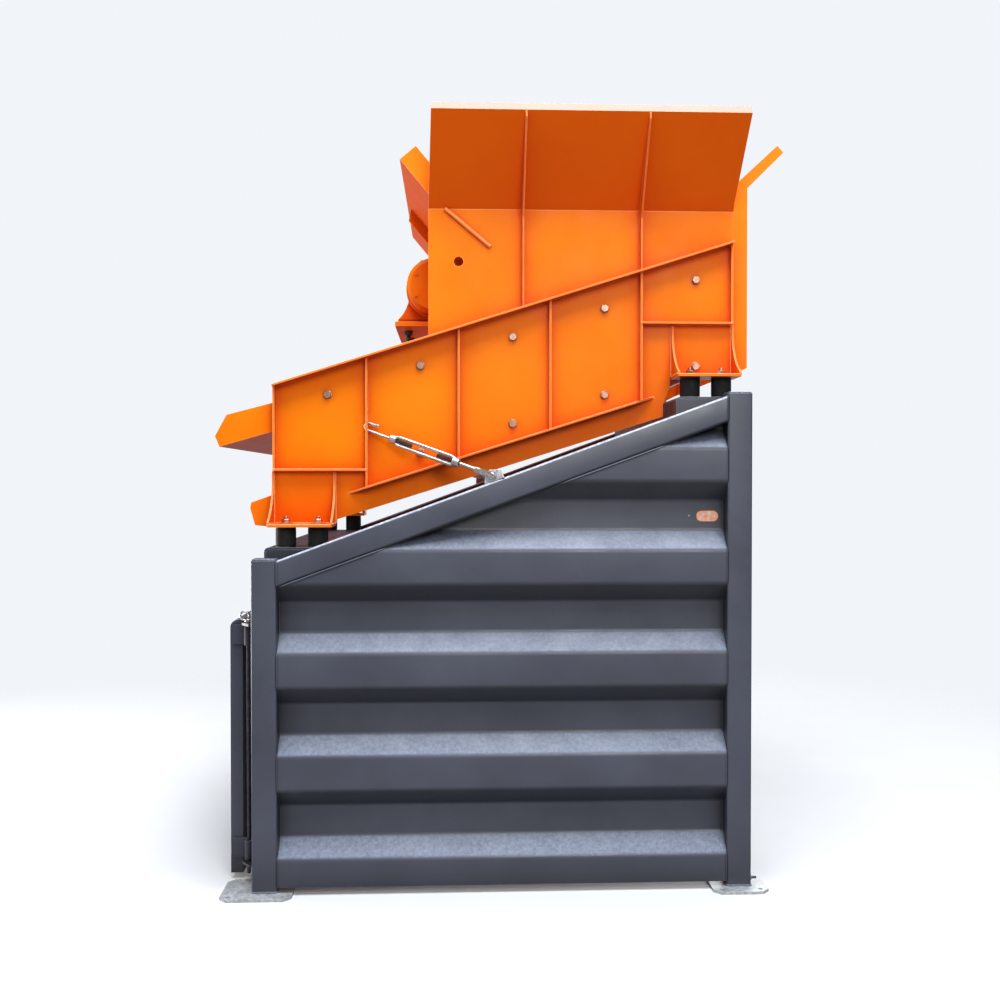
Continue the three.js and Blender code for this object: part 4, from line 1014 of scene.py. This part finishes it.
def build_tie_hook(b):
    """Threaded rod that ends in an open hook."""
    bend = 0.015
    b.thread(tie_point(BODY_START - 0.004, 0), tie_point(0.212, 0), THREAD_R, THREAD_PITCH, 1)
    path = [(BODY_START, 0), (0.060, 0), (0.030, 0), (0.002, 0)]
    for i in range(1, 13):
        angle = -math.pi / 2 - math.pi * i / 12
        path.append((0.002 + bend * math.cos(angle), bend + bend * math.sin(angle)))
    path += [(0.022, 2 * bend), (0.036, 2 * bend + 0.001), (0.049, 2 * bend + 0.003)]
    b.tube([tie_point(s, v) for s, v in path], ROD_R, 16)


def build_tie_fork(b):
    """Threaded rod with a forked head, its headed pin and the pin's ring."""
    head_start, head_end = TIE_LENGTH - 0.078, TIE_LENGTH - 0.052
    ear_in, ear_out, ear_r, half = 0.0075, 0.015, 0.017, 0.011
    b.thread(tie_point(0.332, 0), tie_point(BODY_END + 0.004, 0), THREAD_R, THREAD_PITCH, 2)
    b.tube([tie_point(BODY_END, 0), tie_point(head_start + 0.004, 0)], 0.0078, 16)
    block = TIE @ at(head_start, 0, 0, ALONG_X)
    b.prism(rounded_rect(half, ear_out, 0.004), block, head_end - head_start)
    eye = [(TIE_LENGTH + ear_r * math.cos(a), ear_r * math.sin(a))
           for a in (math.radians(-90 + 15 * i) for i in range(13))]
    ear = [(head_end - 0.004, half), (head_end - 0.004, -half), (TIE_LENGTH - 0.020, -half)] + eye
    ear.append((TIE_LENGTH - 0.020, half))
    for n in (ear_in, -ear_out):
        b.prism(ear, TIE @ at(0, 0, n), ear_out - ear_in)
    pin_r, pin_past, ring_r = 0.008, 0.009, 0.009
    pin = TIE @ at(TIE_LENGTH, 0, -ear_out - pin_past)
    b.lathe([(pin_r - 0.001, 0), (pin_r, 0.001), (pin_r, 2 * ear_out + pin_past)], pin, 20)
    cap = TIE @ at(TIE_LENGTH, 0, ear_out)
    b.lathe([(0.0125, 0), (0.0125, 0.005), (0.011, 0.0065)], cap, 20)
    ring = [tie_point(TIE_LENGTH + ring_r * math.cos(a), ring_r * math.sin(a), -ear_out - 0.005)
            for a in (math.radians(20 * i) for i in range(18))]
    b.tube(ring, 0.0013, 8, 0, closed=True)


pair("turnbuckle_body", build_tie_body, (bright_zinc_painted_reflection,), "tie_body_{}", "galvanised", ["tie_body"])
pair("turnbuckle_hook", build_tie_hook, (bright_zinc_painted_reflection, dark_steel), "tie_hook_{}", "galvanised",
     ["tie_hook"])
pair("turnbuckle_fork", build_tie_fork, (bright_zinc_painted_reflection, bright_zinc_painted_reflection, dark_steel), "frame", "galvanised",
     ["tie_fork"])

# ---------------------------------------------------------------- gate


def build_hinge_rod(b):
    """Hinge rod with a collar and a ring on its top end, to lift it out by."""
    low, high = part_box("gate_hinge_rod")
    middle = (low + high) / 2
    rod_r, collar_r, collar_thick, ring_r = 0.008, 0.014, 0.012, 0.018
    collar_z = high.z - 0.014
    b.lathe([(rod_r - 0.002, 0), (rod_r, 0.003), (rod_r, collar_z - low.z)],
            at(middle.x, middle.y, low.z), 20, 0)
    b.disc(at(middle.x, middle.y, collar_z), collar_r, collar_thick, 0.001, 24, 1)
    angles = [math.radians(15 * i) for i in range(24)]
    ring = [(middle.x - 0.014 + ring_r * math.cos(a), middle.y, high.z + 0.012 + ring_r * math.sin(a))
            for a in angles]
    b.tube(ring, 0.0042, 10, 1, closed=True)


hinge_rod = Builder(dark_steel, bright_zinc_painted_reflection)
build_hinge_rod(hinge_rod)
hinge_rod.piece("hinge_rod_with_ring", "frame", "galvanised", ["gate_hinge_rod"])

# ---------------------------------------------------------------- floor

floor_nodes = Nodes("floor")            # the picture shows it paler than it lights the machine
concrete = floor_nodes.mix(floor_nodes.noise(3), rgb(0.30, 0.30, 0.30), rgb(0.33, 0.33, 0.33))
paler = floor_nodes.mix(floor_nodes.noise(3), rgb(0.70, 0.70, 0.71), rgb(0.74, 0.74, 0.75))
camera_ray = floor_nodes.add("ShaderNodeLightPath").outputs["Is Camera Ray"]
floor_nodes.set("Base Color", floor_nodes.mix(camera_ray, concrete, paler))
floor_nodes.set("Roughness", 0.8)
away = floor_nodes.add("ShaderNodeVectorMath", Vector=floor_nodes.place)
away.operation = "LENGTH"
floor_nodes.set("Alpha", floor_nodes.ramp(away.outputs["Value"], 2.2, 5.0, 1.0, 0.0))
bpy.ops.mesh.primitive_plane_add(size=60, location=(0, 0, 0))
floor = bpy.context.object
floor.name = "floor"
floor.data.materials.append(floor_nodes.material)
